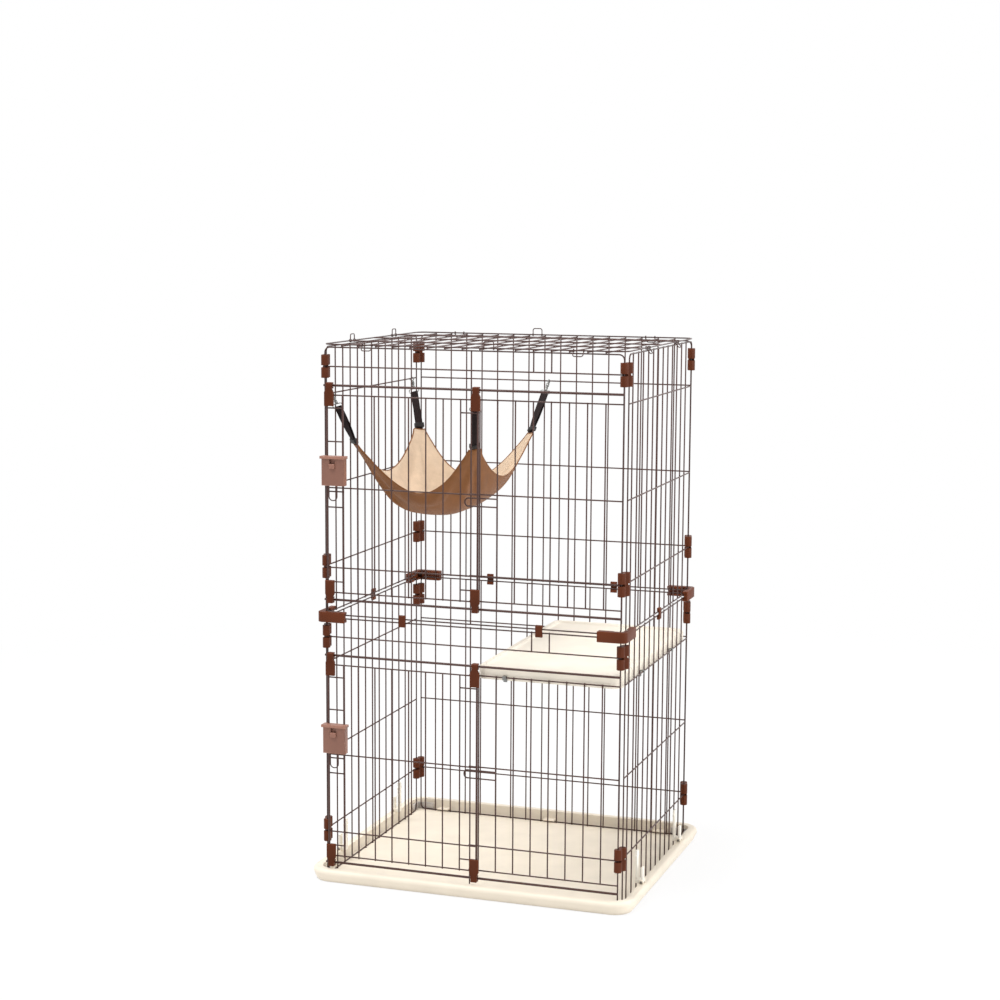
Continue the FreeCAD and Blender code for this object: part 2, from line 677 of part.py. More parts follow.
def lock_slide(tier, base):
    """Sliding plate inside the case with a thumb tab through its window and a bent pull wire below."""
    name = f"{tier}_lock_slide"
    floor = f"({base} + case_bottom)"
    plate = box(f"{name}_plate", f"{LOCK_CENTRE} - pull_width / 2 - lock_plate", LOCK_PLATE_FRONT,
                f"{floor} + lock_plate_rise", "pull_width + 2 * lock_plate", "lock_plate",
                "thumb_rise + thumb_height - lock_plate_rise")
    tab = box(f"{name}_tab", f"{LOCK_CENTRE} - thumb_width / 2", f"{LOCK_FRONT} - thumb_proud",
              f"{floor} + thumb_rise", "thumb_width", "thumb_proud + case_wall + fit_gap + lock_plate",
              "thumb_height")
    left, right = (f"{LOCK_CENTRE} + {sign} * pull_width / 2" for sign in (-1, 1))
    top, bottom = f"{floor} + lock_plate_rise + thumb_height", f"{floor} - pull_drop"
    corners = [(left, top), (left, bottom), (right, bottom), (right, top)]
    route = [mark(x, PULL_LINE, z) for x, z in corners]
    pull = shaped(f"{name}_pull", bent_wire(route, size("loop_gauge"), size("pull_bend")))
    return joined(name, [plate, tab, pull])


def corner_clip_form():
    """Clip that holds two corner posts: two bored lobes and a web, slotted at the middle for cross wires."""
    low = "-clip_height / 2"
    lobes = [rod("clip_front_lobe", "clip_lobe", "clip_height", "0", "0", low, "z"),
             rod("clip_side_lobe", "clip_lobe", "clip_height", "side_outset", "side_setback", low, "z")]
    web = doc.addObject("Part::Box", "clip_web_block")
    bind(web, Length="sqrt(side_outset ^ 2 + side_setback ^ 2)", Width="clip_web", Height="clip_height")
    lean = FreeCAD.Rotation(X_AXIS, FreeCAD.Vector(size("side_outset"), size("side_setback"), 0))
    edge = lean.multVec(FreeCAD.Vector(0, -size("clip_web") / 2, -size("clip_height") / 2))
    web.Placement = FreeCAD.Placement(edge, lean)
    half_bore = f"{BORE} / 2"
    tools = []
    for side, x, y in (("front", "0", "0"), ("side", "side_outset", "side_setback")):
        tools.append(box(f"clip_{side}_bore", f"{x} - {half_bore}", f"{y} - {half_bore}", "-clip_height",
                         BORE, BORE, "2 * clip_height"))
    room = "side_setback / 2 - clip_core / 2 + clip_lobe"
    for side, start in (("front", "-clip_lobe"), ("side", "side_setback / 2 + clip_core / 2")):
        tools.append(box(f"clip_{side}_slot", "-2 * clip_lobe", start, "-clip_slot / 2",
                         "4 * clip_lobe", room, "clip_slot"))
    return cut("clip_form", joined("clip_body", lobes + [web]), tools)


def corner_clips(tier, base, form):
    """Eight clips of a tier: two on each pair of corner posts."""
    pieces = []
    for level in ("low_wire", "tie_wire"):
        name = f"{tier}_clip_{level}"
        clip = copied(name, form, HALF_WIDTH, f"-{HALF_DEPTH}", f"{base} + {LEVELS[level]}")
        pieces += four_corners(name, clip)
    return group(f"{tier}_corner_clips", pieces)


def corner_brackets():
    """Four angle brackets with lips above and below the doubled wires where the tiers meet."""
    corner_x = f"({HALF_WIDTH} + bracket_reach)"
    corner_y = f"(-{HALF_DEPTH} - bracket_reach)"
    low = f"{SEAM} - bracket_height / 2"
    room_low = f"{SEAM} - {SEAM_ROOM} / 2"
    arms = [box("bracket_front", f"{corner_x} - bracket_front_arm", corner_y, low, "bracket_front_arm",
                f"bracket_reach + {SEAM_GRIP}", "bracket_height"),
            box("bracket_side", f"{SIDE_PLANE} - {SEAM_GRIP}", corner_y, low,
                f"bracket_reach - side_outset + {SEAM_GRIP}", "bracket_side_arm", "bracket_height")]
    inner_x = f"({corner_x} - bracket_wall)"
    inner_y = f"({corner_y} + bracket_wall)"
    tools = [box("bracket_front_room", f"{corner_x} - 2 * bracket_front_arm", inner_y, room_low,
                 "2 * bracket_front_arm - bracket_wall", "bracket_reach", SEAM_ROOM),
             box("bracket_side_room", f"{SIDE_PLANE} - wire_gauge", inner_y, room_low,
                 f"{inner_x} - {SIDE_PLANE} + wire_gauge", "2 * bracket_side_arm", SEAM_ROOM),
             box("bracket_front_notch", f"{HALF_WIDTH} - corner_bend - wire_gauge",
                 f"-{HALF_DEPTH} - {BORE} / 2", low, f"corner_bend + wire_gauge + {BORE} / 2",
                 "2 * wire_gauge", "bracket_height"),
             box("bracket_side_notch", f"{SIDE_PLANE} - 2 * wire_gauge", f"-{HALF_SIDE} - {BORE} / 2", low,
                 f"2 * wire_gauge + {BORE} / 2", f"corner_bend + wire_gauge + {BORE} / 2",
                 "bracket_height")]
    bare = cut("bracket_cut", joined("bracket_arms", arms), tools)
    outer = eased("Part::Fillet", "bracket_outer", bare, size("bracket_bend"),
                  edges_at(x=number(corner_x), y=number(corner_y)))
    form = eased("Part::Fillet", "bracket_form", outer, size("bracket_bend") - size("bracket_wall"),
                 edges_at(x=number(inner_x), y=number(inner_y)))
    return group("corner_brackets", four_corners("bracket", form))


def rail_clips():
    """Six small clips that pinch the doubled wires of two tiers together."""
    front = "(-wire_gauge / 2 - fit_gap - rail_clip_wall)"
    block = box("rail_clip_block", "-rail_clip_width / 2", front, "-rail_clip_height / 2",
                "rail_clip_width", f"{SEAM_GRIP} - {front}", "rail_clip_height")
    outside = eased("Part::Chamfer", "rail_clip_outside", block, size("runner_bevel"),
                    edges_at(y=number(front)))
    room = box("rail_clip_room", "-rail_clip_width", "-wire_gauge / 2 - fit_gap", f"-{SEAM_ROOM} / 2",
               "2 * rail_clip_width", "2 * wire_gauge", SEAM_ROOM)
    form = cut("rail_clip_form", outside, [room])
    spots = {
        "front_left": ("-rail_clip_place", f"-{HALF_DEPTH}", 0),
        "front_right": ("rail_clip_place", f"-{HALF_DEPTH}", 0),
        "right": (SIDE_PLANE, "0", 90),
        "back_right": ("rail_clip_place", HALF_DEPTH, 180),
        "back_left": ("-rail_clip_place", HALF_DEPTH, 180),
        "left": (f"-{SIDE_PLANE}", "0", -90),
    }
    clips = [copied(f"rail_clip_{spot}", form, x, y, SEAM, FreeCAD.Rotation(Z_AXIS, turn))
             for spot, (x, y, turn) in spots.items()]
    return group("rail_clips", clips)


def corner_sockets():
    """Four low angle pieces on the tray floor that keep the wall corners in place."""
    face_x = f"({SIDE_PLANE} + {BORE} / 2)"
    outer_x = f"({face_x} + socket_wall)"
    outer_y = f"(-{HALF_DEPTH} - {BORE} / 2 - socket_wall)"
    walls = [box("socket_front", f"{HALF_WIDTH} - socket_arm", outer_y, "tray_floor",
                 f"{outer_x} - {HALF_WIDTH} + socket_arm", "socket_wall", "socket_height"),
             box("socket_side", face_x, outer_y, "tray_floor", "socket_wall",
                 f"socket_arm + {BORE} / 2 + socket_wall", "socket_height")]
    form = eased("Part::Fillet", "socket_form", joined("socket_walls", walls), size("socket_bend"),
                 edges_at(x=number(outer_x), y=number(outer_y)))
    return group("corner_sockets", four_corners("socket", form))


TRAY_HALF_X = f"({SIDE_PLANE} + tray_side_margin)"
TRAY_HALF_Y = f"({HALF_DEPTH} + tray_front_margin)"
LEVER_X = f"({TRAY_HALF_X} - (tray_rim + tray_roll) / 2)"
LEVER_Y = "(4 * side_pitch)"
LEVER_Z = "(tray_height + lever_barrel / 2 + fit_gap)"
LEVER_BORE = "(lever_pin + 2 * lever_pin_gap)"


def tray_outline(name, inset, corner, z):
    """An outline of the tray drawn in from its widest size."""
    return rounded_outline(name, f"{TRAY_HALF_X} - ({inset})", f"{TRAY_HALF_Y} - ({inset})", corner,
                           "0", "0", z)


def lever_lugs():
    """Two upright ears on the front right rim, bored for a lever's pin."""
    lugs = []
    for side, y in (("near", f"-{LEVER_Y} - lever_width / 2 - fit_gap - lug_thickness"),
                    ("far", f"-{LEVER_Y} + lever_width / 2 + fit_gap")):
        foot = box(f"lug_{side}_foot", f"{LEVER_X} - lever_barrel / 2", y, "tray_height - tray_wall",
                   "lever_barrel", "lug_thickness", f"{LEVER_Z} - tray_height + tray_wall")
        ear = rod(f"lug_{side}_ear", "lever_barrel", "lug_thickness", LEVER_X, y, LEVER_Z, "y")
        bore = rod(f"lug_{side}_bore", LEVER_BORE, "lug_thickness", LEVER_X, y, LEVER_Z, "y")
        lugs.append(cut(f"lug_{side}", joined(f"lug_{side}_body", [foot, ear]), [bore]))
    return group("lugs_front_right", lugs)


def tray():
    """Moulded tray: flared wall, rolled hollow rim, sunk floor, back tabs and lever ears."""
    outer = lofted("tray_outer", [
        tray_outline("tray_foot", "tray_flare", "tray_corner - tray_flare", "0"),
        tray_outline("tray_belly", "0", "tray_corner", "tray_height - tray_roll"),
        tray_outline("tray_shoulder_line", "tray_shoulder", "tray_corner - tray_shoulder",
                     "tray_height - tray_shoulder"),
        tray_outline("tray_crown", "tray_roll", "tray_corner - tray_roll", "tray_height"),
    ])
    pocket = lofted("tray_pocket", [
        tray_outline("tray_floor_line", "tray_rim + tray_slope", "tray_pocket_corner - tray_slope",
                     "tray_floor"),
        tray_outline("tray_mouth_line", "tray_rim", "tray_pocket_corner", "tray_height"),
    ])
    hollow_height = "tray_height - tray_wall"
    hollow_line = tray_outline("tray_hollow_outer", "tray_flare + tray_wall",
                               "tray_corner - tray_flare - tray_wall", "0")
    core_line = tray_outline("tray_hollow_inner", "tray_rim - tray_wall",
                             "tray_pocket_corner + tray_wall", "0")
    hollow = extruded("tray_rim_hollow_block", hollow_line, hollow_height)
    core = extruded("tray_rim_hollow_core", core_line, hollow_height)
    shell = cut("tray_shell", outer, [pocket, cut("tray_rim_hollow", hollow, [core])])
    tabs = []
    inner_wall = f"({TRAY_HALF_Y} - tray_rim)"
    tab_spacing = "7 * front_pitch"
    for index in (-1, 0, 1):
        tabs.append(box(f"tray_tab_{index + 1}", f"{index} * {tab_spacing} - tab_width / 2",
                        f"{HALF_DEPTH} - tab_hold", "tray_floor + wire_gauge + fit_gap", "tab_width",
                        f"{inner_wall} - {HALF_DEPTH} + tab_hold + tray_wall / 2", "tab_thickness"))
    return joined("tray", [shell] + tabs + four_corners("lugs", lever_lugs()))


def lever_form():
    """Front right lever: arm against the side wall, foot, bored barrel on the rim and handle above it."""
    face = f"({SIDE_PLANE} + {BORE} / 2)"
    low_y = f"-{LEVER_Y} - lever_width / 2"
    low_z = f"({LEVER_Z} - lever_barrel / 2)"
    arm = box("lever_arm", face, low_y, low_z, "lever_thickness", "lever_width", "lever_height")
    foot = box("lever_foot", face, low_y, low_z, f"{LEVER_X} - {face}", "lever_width", "lever_barrel")
    barrel = rod("lever_barrel_body", f"lever_barrel * {CORNER_TO_FLAT}", "lever_width", LEVER_X, low_y,
                 LEVER_Z, "y")
    handle = box("lever_handle_plate", f"{LEVER_X} - lever_thickness / 2", low_y, LEVER_Z, "lever_thickness",
                 "lever_width", "lever_handle")
    nub = box("lever_nubs", face, f"{low_y} - lever_nub", f"{low_z} + lever_height - lever_nub_drop",
              "lever_thickness", "lever_width + 2 * lever_nub", "lever_thickness")
    bore = rod("lever_bore", LEVER_BORE, "lever_width", LEVER_X, low_y, LEVER_Z, "y")
    return cut("lever_front_right", joined("lever_body", [arm, foot, barrel, handle, nub]), [bore])


def lever_pins():
    """Four hinge pins, one through each lever and its two ears."""
    half = "(lever_width / 2 + fit_gap + lug_thickness)"
    pin = doc.addObject("Part::Cylinder", "lever_pin_front_right")
    bind(pin, Radius="lever_pin / 2", Height=f"2 * {half}")
    place(pin, LEVER_X, f"-{LEVER_Y} - {half}", LEVER_Z, ALONG["y"])
    return group("lever_pins", four_corners("lever_pin", pin))


SHELF_RIGHT = f"({SIDE_PLANE} - 1.5 * wire_gauge - shelf_gap)"
SHELF_HALF_X = f"({SHELF_RIGHT} / 2 - shelf_left / 2)"
SHELF_HALF_Y = f"({HALF_DEPTH} - 1.5 * wire_gauge - shelf_gap)"
SHELF_X = f"({SHELF_RIGHT} / 2 + shelf_left / 2)"
SHELF_TOP = f"({LOWER_BASE} + {HIGH_WIRE} + shelf_rise)"
SHELF_LOW = f"({SHELF_TOP} - shelf_height)"


def shelf_outline(name, inset, z):
    """An outline of the shelf drawn in from its widest size."""
    return rounded_outline(name, f"{SHELF_HALF_X} - ({inset})", f"{SHELF_HALF_Y} - ({inset})",
                           f"shelf_corner - 0.5 * ({inset})", SHELF_X, "0", z)


def shelf():
    """Moulded shelf board: raised bevelled rim, sunk top, ribs in the open underside."""
    outer = lofted("shelf_outer", [
        shelf_outline("shelf_foot", "0", SHELF_LOW),
        shelf_outline("shelf_side", "0", f"{SHELF_TOP} - shelf_bevel"),
        shelf_outline("shelf_crown", "shelf_bevel", SHELF_TOP),
    ])
    dish = lofted("shelf_dish_form", [
        shelf_outline("shelf_dish_floor", "shelf_rim + shelf_dish", f"{SHELF_TOP} - shelf_dish"),
        shelf_outline("shelf_dish_edge", "shelf_rim", SHELF_TOP),
    ])
    depth = "shelf_height - shelf_dish - shelf_skin"
    hollow_line = shelf_outline("shelf_hollow_line", "shelf_skin", SHELF_LOW)
    hollow = extruded("shelf_hollow_block", hollow_line, depth)
    ribs = []
    for index in range(-2, 3):
        ribs.append(box(f"shelf_rib_across_{index + 2}", f"{SHELF_X} - {SHELF_HALF_X}",
                        f"{index} * {SHELF_HALF_Y} / 3 - shelf_rib / 2", SHELF_LOW, f"2 * {SHELF_HALF_X}",
                        "shelf_rib", depth))
    for index in (-1, 1):
        ribs.append(box(f"shelf_rib_along_{index + 1}", f"{SHELF_X} + {index} * {SHELF_HALF_X} / 3",
                        f"-{SHELF_HALF_Y}", SHELF_LOW, "shelf_rib", f"2 * {SHELF_HALF_Y}", depth))
    return cut("shelf", outer, [dish, cut("shelf_hollow", hollow, ribs)])


def shelf_hooks():
    """Four strip hooks from the shelf's edge over the wall wires."""
    nose = "(-wire_gauge / 2 - fit_gap - hook_strip)"
    over = "(wire_gauge / 2 + fit_gap)"
    reach = "(1.5 * wire_gauge + shelf_gap)"
    strips = [box("hook_bridge", "-hook_width / 2", nose, over, "hook_width", f"{reach} - {nose}",
                  "hook_strip"),
              box("hook_front", "-hook_width / 2", nose, f"{over} - hook_nose", "hook_width", "hook_strip",
                  "hook_nose"),
              box("hook_plate", "-hook_width / 2", f"{reach} - hook_strip", f"{over} - hook_drop",
                  "hook_width", "hook_strip", "hook_drop")]
    form = joined("shelf_hook_form", strips)
    spots = {
        "front": ("2 * front_pitch", f"-{HALF_DEPTH}", 0),
        "back": ("2 * front_pitch", HALF_DEPTH, 180),
        "right_front": (SIDE_PLANE, "-3 * side_pitch", 90),
        "right_back": (SIDE_PLANE, "3 * side_pitch", 90),
    }
    hooks = [copied(f"shelf_hook_{spot}", form, x, y, f"{LOWER_BASE} + {HIGH_WIRE}",
                    FreeCAD.Rotation(Z_AXIS, turn)) for spot, (x, y, turn) in spots.items()]
    return group("shelf_hooks", hooks)


ROOF_HALF_X = SIDE_PLANE
ROOF_HALF_Y = HALF_DEPTH
ROOF_Z = f"({WALL_TOP} + 2 * wire_gauge)"


def roof_panel():
    """Roof: wires from front to back that lie on the walls, the border and long wires on top of them."""
    pieces = [bent_loop("roof_border", ROOF_HALF_X, ROOF_HALF_Y, "0", "0", ROOF_Z, bend="roof_bend",
                        kind="Part::Circle")]
    for index in range(1, int(size("front_spaces"))):
        pieces.append(rod(f"roof_cross_{index}", "wire_gauge", f"2 * {ROOF_HALF_Y} + wire_gauge",
                          front_upright(index), f"-{ROOF_HALF_Y} - wire_gauge / 2",
                          f"{ROOF_Z} - wire_gauge", "y"))
    spaces = int(size("roof_spaces"))
    for index in range(1, spaces):
        pieces.append(rod(f"roof_long_{index}", "wire_gauge", f"2 * {ROOF_HALF_X} - wire_gauge",
                          f"wire_gauge / 2 - {ROOF_HALF_X}",
                          f"({index} - roof_spaces / 2) * 2 * {HALF_DEPTH} / roof_spaces", ROOF_Z, "x"))
    return group("roof_panel", pieces)


def roof_loops():
    """Ten wire loops that swing on the roof's border: some hang over the walls' top wires, some stand."""
    half = "(loop_width / 2 - loop_gauge / 2)"
    corners = [(f"-{half}", "0"), (f"-{half}", "-loop_drop"), (half, "-loop_drop"), (half, "0")]
    route = [mark(x, "0", z) for x, z in corners]
    pieces = [shaped("roof_loop_wire", bent_wire(route, size("loop_gauge"), size("loop_bend")))]
    for side, sign in (("left", -1), ("right", 1)):
        pieces.append(rod(f"roof_loop_{side}_eye", "loop_eye", "loop_eye_length",
                          f"{sign} * {half} - loop_eye_length / 2", "0", "0", "x"))
    bore = rod("roof_loop_bore", "wire_gauge + 2 * loop_gap", "2 * loop_width", "-loop_width", "0", "0", "x")
    form = cut("roof_loop_form", joined("roof_loop_body", pieces), [bore])
    hanging, standing = 35, 180
    far_x, near_x, side_y = "6 * front_pitch", "front_pitch", "3 * side_pitch"
    spots = {
        "front_left": (f"-{far_x}", f"-{ROOF_HALF_Y}", 0, hanging),
        "front_middle": (near_x, f"-{ROOF_HALF_Y}", 0, standing),
        "front_right": (far_x, f"-{ROOF_HALF_Y}", 0, hanging),
        "right_front": (ROOF_HALF_X, f"-{side_y}", 90, hanging),
        "right_back": (ROOF_HALF_X, side_y, 90, hanging),
        "back_right": (far_x, ROOF_HALF_Y, 180, hanging),
        "back_middle": (f"-{near_x}", ROOF_HALF_Y, 180, standing),
        "back_left": (f"-{far_x}", ROOF_HALF_Y, 180, hanging),
        "left_back": (f"-{ROOF_HALF_X}", side_y, -90, standing),
        "left_front": (f"-{ROOF_HALF_X}", f"-{side_y}", -90, standing),
    }
    loops = []
    for spot, (x, y, facing, lean) in spots.items():
        turn = FreeCAD.Rotation(Z_AXIS, facing) * FreeCAD.Rotation(X_AXIS, -lean)
        loops.append(copied(f"roof_loop_{spot}", form, x, y, ROOF_Z, turn))
    return loops


SNAP_SIDES = 10
HANG_Z = f"({UPPER_BASE} + {HIGH_WIRE})"
CLOTH_TOP = f"({HANG_Z} - cloth_hang)"


def cloth_point(across, along):
    """A point of the sagging cloth, given two shares from -1 to 1 of its width and depth."""
    bow, dip = 1 - across ** 2, 1 - along ** 2
    middle = -(size("cloth_left") + size("cloth_right")) / 2
    half_width = (size("cloth_left") - size("cloth_right")) / 2 + dip * size("cloth_side_spread")
    half_depth = size("cloth_half_depth") - bow * size("cloth_front_draw")
    front_sag, side_sag = size("cloth_front_sag"), size("cloth_side_sag")
    sag = front_sag * bow + side_sag * dip + (size("cloth_depth") - front_sag - side_sag) * bow * dip
    return FreeCAD.Vector(middle + across * half_width, along * half_depth, number(CLOTH_TOP) - sag)


def hammock_cloth():
    """Sagging cloth: rows of points from its front edge to its back edge, with flats between them."""
    drop = Z_AXIS * size("cloth_thickness")
    rows = []
    spans, chords = 8, 10
    for span in range(spans + 1):
        along = 2 * span / spans - 1
        upper = [cloth_point(2 * chord / chords - 1, along) for chord in range(chords + 1)]
        rows.append(upper + [spot - drop for spot in reversed(upper)])
    faces = []
    for edge in (rows[0], rows[-1]):
        for left in range(chords):
            faces.append(flat_face([edge[left], edge[left + 1], edge[-left - 2], edge[-left - 1]]))
    for near, far in zip(rows, rows[1:]):
        for index in range(len(near)):
            faces.append(flat_face([near[index - 1], near[index], far[index]]))
            faces.append(flat_face([near[index - 1], far[index], far[index - 1]]))
    shell = Part.makeShell(faces)
    shell.sewShape()
    return shaped("hammock_cloth", Part.makeSolid(shell))


def hang_points():
    """For each corner of the hammock: the point on a wall wire, that wire's direction, the cloth corner."""
    side_y = "(side_spaces / 2 - 1) * side_pitch + strap_offset"
    front_x = "front_pitch / 4"
    corners = [
        (f"-{SIDE_PLANE}", f"-({side_y})", Y_AXIS, "-cloth_left", "-cloth_half_depth"),
        (f"-{SIDE_PLANE}", side_y, Y_AXIS, "-cloth_left", "cloth_half_depth"),
        (front_x, f"-{HALF_DEPTH}", X_AXIS, "-cloth_right", "-cloth_half_depth"),
        (f"-({front_x})", HALF_DEPTH, X_AXIS, "-cloth_right", "cloth_half_depth"),
    ]
    return [(mark(x, y, HANG_Z), wire, mark(cx, cy, CLOTH_TOP)) for x, y, wire, cx, cy in corners]


def hammock_fittings():
    """Four snap hooks on the wall wires and the straps from their eyes to the cloth corners."""
    gauge, eye, shank = size("snap_gauge"), size("snap_eye"), size("snap_shank")
    strap_width = size("strap_width")
    ring_radius = size("snap_ring") / 2
    wire_corner = size("wire_gauge") / 2 / CORNER_TO_FLAT
    slack = ring_radius - gauge / 2 - wire_corner - size("fit_gap")
    hooks, straps = [], []
    for hold, wire, corner in hang_points():
        pull = (corner - hold).normalize()
        flat_pull = (pull - wire * pull.dot(wire)).normalize()
        centre = hold + flat_pull * slack
        side = flat_pull.cross(wire)
        turns = [2 * math.pi * step / SNAP_SIDES for step in range(SNAP_SIDES + 1)]
        rays = [side * math.cos(turn) + flat_pull * math.sin(turn) for turn in turns]
        circle = [centre + ray * ring_radius for ray in rays]
        first_run = (circle[1] - circle[0]).normalize()
        ring = swept(circle, ring_of_flats(circle[0], gauge, wire, wire.cross(first_run)))
        root = centre + flat_pull * ring_radius
        across = (wire - pull * wire.dot(pull)).normalize()
        square = across.cross(pull)
        tip = root + pull * shank
        shaft = Part.Face(ring_of_flats(root, size("snap_barrel"), across, square)).extrude(tip - root)
        drop = pull * (eye + gauge)
        frame = plate(tip + drop / 2, across, strap_width + 4 * gauge, pull, eye + 2 * gauge, square, gauge)
        gap = plate(tip + drop / 2, across, strap_width + 2 * gauge, pull, eye, square, 2 * gauge)
        hooks.append(ring.fuse([shaft, frame]).cut(gap).removeSplitter())
        top = tip + drop + pull * (gauge / 2 + size("fit_gap"))
        end = corner - pull * size("fit_gap")
        middle = (top + end) / 2
        straps.append(plate(middle, across, strap_width, pull, (end - top).Length, square,
                            size("strap_thickness")))
    return [shaped("snap_hooks", Part.makeCompound(hooks)),
            shaped("hammock_straps", Part.makeCompound(straps))]


nodes = []
for tier, base in TIERS.items():
    nodes.append(front_panel(tier, base))
    nodes.append(back_panel(tier, base))
    nodes.append(side_panel(tier, base, "left", -1))
    nodes.append(side_panel(tier, base, "right", 1))

top_left = runner_form()
top_right = mirrored("runner_top_right", top_left, X_AXIS)
runner_forms = {
    "top_rail": (top_left, top_right),
    "low_rail": (mirrored("runner_low_left", top_left, Z_AXIS),
                 mirrored("runner_low_right", top_right, Z_AXIS)),
}
clip_form = corner_clip_form()
for tier, base in TIERS.items():
    nodes.append(door_mesh(tier, base))
    nodes.append(door_runners(tier, base, runner_forms))
    nodes.append(lock_case(tier, base))
    nodes.append(lock_slide(tier, base))
    nodes.append(corner_clips(tier, base, clip_form))

nodes += [corner_brackets(), rail_clips(), corner_sockets(), tray()]
nodes += four_corners("lever", lever_form())
nodes += [lever_pins(), shelf(), shelf_hooks(), roof_panel()]
nodes += roof_loops()
nodes.append(hammock_cloth())
nodes += hammock_fittings()
doc.recompute()

for piece in doc.Objects:
    if "Invalid" in piece.State or "Error" in piece.State:
        raise RuntimeError(f"{piece.Label} failed: {piece.State}")
for node in nodes:
    if node.Shape.isNull() or not node.Shape.isValid() or not node.Shape.Solids:
        raise RuntimeError(f"{node.Label} has no valid solid")

os.makedirs("parts", exist_ok=True)
for node in nodes:
    solids = node.Shape.Solids
    whole = solids[0] if len(solids) == 1 else Part.makeCompound(solids)
    whole.exportStep(f"parts/{node.Label}.step")
    print(node.Label, len(solids), round(node.Shape.Volume))
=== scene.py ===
import math
from collections import Counter

import bpy
from mathutils import Matrix, Vector


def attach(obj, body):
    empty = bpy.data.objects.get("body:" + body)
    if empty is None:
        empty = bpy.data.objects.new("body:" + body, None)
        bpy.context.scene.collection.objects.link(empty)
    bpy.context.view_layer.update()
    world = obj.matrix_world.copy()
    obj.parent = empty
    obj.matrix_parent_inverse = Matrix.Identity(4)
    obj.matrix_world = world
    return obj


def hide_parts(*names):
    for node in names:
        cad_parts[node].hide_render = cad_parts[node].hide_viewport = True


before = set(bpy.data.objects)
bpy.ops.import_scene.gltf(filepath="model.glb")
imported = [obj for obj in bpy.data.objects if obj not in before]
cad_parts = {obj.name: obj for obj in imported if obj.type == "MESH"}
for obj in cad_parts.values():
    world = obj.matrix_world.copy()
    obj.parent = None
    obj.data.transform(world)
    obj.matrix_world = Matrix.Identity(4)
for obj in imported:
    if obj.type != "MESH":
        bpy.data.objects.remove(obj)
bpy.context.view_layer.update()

# Stage: the cage stands on a plain pale floor in soft studio light, seen through a long lens from
# the right of its doors and a little above its roof. Nothing here belongs to the part.
LENS, SENSOR_WIDTH = 73.776, 36
CAMERA_PLACE = (1.41354, -4.18782, 1.3875)
CAMERA_YAW, CAMERA_PITCH, CAMERA_ROLL = (math.radians(a) for a in (-19.035, 7.55, 0.316))
FLOOR_WIDTH, FLOOR_DROP = 16.0, 0.0002
FLOOR_WHITENESS, FLOOR_FADE = 0.84, (0.9, 2.8)
FLOOR_GREY, WHITE = (0.86, 0.86, 0.86, 1), (1, 1, 1, 1)
AMBIENT = 0.68
LAMP_AIM = Vector((0, 0, 0.6))
LAMPS = {
    "key": ((-1.2, -1.0, 4.3), 2.6, 155),
    "fill": ((4.0, 0.0, 1.7), 2.4, 75),
    "rim": ((0.8, 3.0, 3.0), 2.2, 40),
}


def feed(tree, socket, part):
    """Gives a shader's socket a plain value or another shader's output."""
    if isinstance(part, bpy.types.NodeSocket):
        tree.links.new(part, socket)
    else:
        socket.default_value = part


def set_sockets(tree, shader, **parts):
    """Feeds a shader's sockets by their names."""
    for name, part in parts.items():
        feed(tree, shader.inputs[name.replace("_", " ")], part)
    return shader


def node(tree, kind, **parts):
    """A new shader node with its sockets fed."""
    return set_sockets(tree, tree.nodes.new(kind), **parts)


def maths(tree, operation, *parts):
    """The result of one sum on shader values."""
    made = tree.nodes.new("ShaderNodeMath")
    made.operation = operation
    for socket, part in zip(made.inputs, parts):
        feed(tree, socket, part)
    return made.outputs[0]


def seen_ray(tree):
    """One where the camera, a reflection or a clear surface looks, and nought elsewhere."""
    rays = tree.nodes.new("ShaderNodeLightPath")
    total = rays.outputs["Is Camera Ray"]
    for ray in ("Is Glossy Ray", "Is Transmission Ray"):
        total = maths(tree, "MAXIMUM", total, rays.outputs[ray])
    return total


def aim_camera():
    """The camera's turn from its yaw, pitch and roll."""
    ahead = Vector((math.sin(CAMERA_YAW) * math.cos(CAMERA_PITCH),
                    math.cos(CAMERA_YAW) * math.cos(CAMERA_PITCH), -math.sin(CAMERA_PITCH)))
    right = Vector((math.cos(CAMERA_YAW), -math.sin(CAMERA_YAW), 0))
    level = right.cross(ahead)
    across = right * math.cos(CAMERA_ROLL) + level * math.sin(CAMERA_ROLL)
    upward = level * math.cos(CAMERA_ROLL) - right * math.sin(CAMERA_ROLL)
    return Matrix((across, upward, -ahead)).transposed().to_4x4()


bpy.ops.object.select_all(action="DESELECT")
bpy.ops.object.camera_add()
camera = bpy.context.object
camera.data.lens = LENS
camera.data.sensor_width = SENSOR_WIDTH
camera.matrix_world = Matrix.Translation(CAMERA_PLACE) @ aim_camera()
bpy.context.scene.camera = camera
bpy.context.scene.view_settings.view_transform = "Standard"

for lamp_name, (lamp_place, lamp_width, lamp_watts) in LAMPS.items():
    bpy.ops.object.light_add(type="AREA", location=lamp_place)
    lamp = bpy.context.object
    lamp.name = f"{lamp_name}_lamp"
    lamp.data.size = lamp_width
    lamp.data.energy = lamp_watts
    lamp.rotation_euler = (LAMP_AIM - lamp.location).to_track_quat("-Z", "Y").to_euler()

world = bpy.data.worlds.new("studio")
bpy.context.scene.world = world
world.use_nodes = True
tree = world.node_tree
sky_strength = maths(tree, "MULTIPLY_ADD", seen_ray(tree), 1 - AMBIENT, AMBIENT)
set_sockets(tree, tree.nodes["Background"], Color=WHITE, Strength=sky_strength)

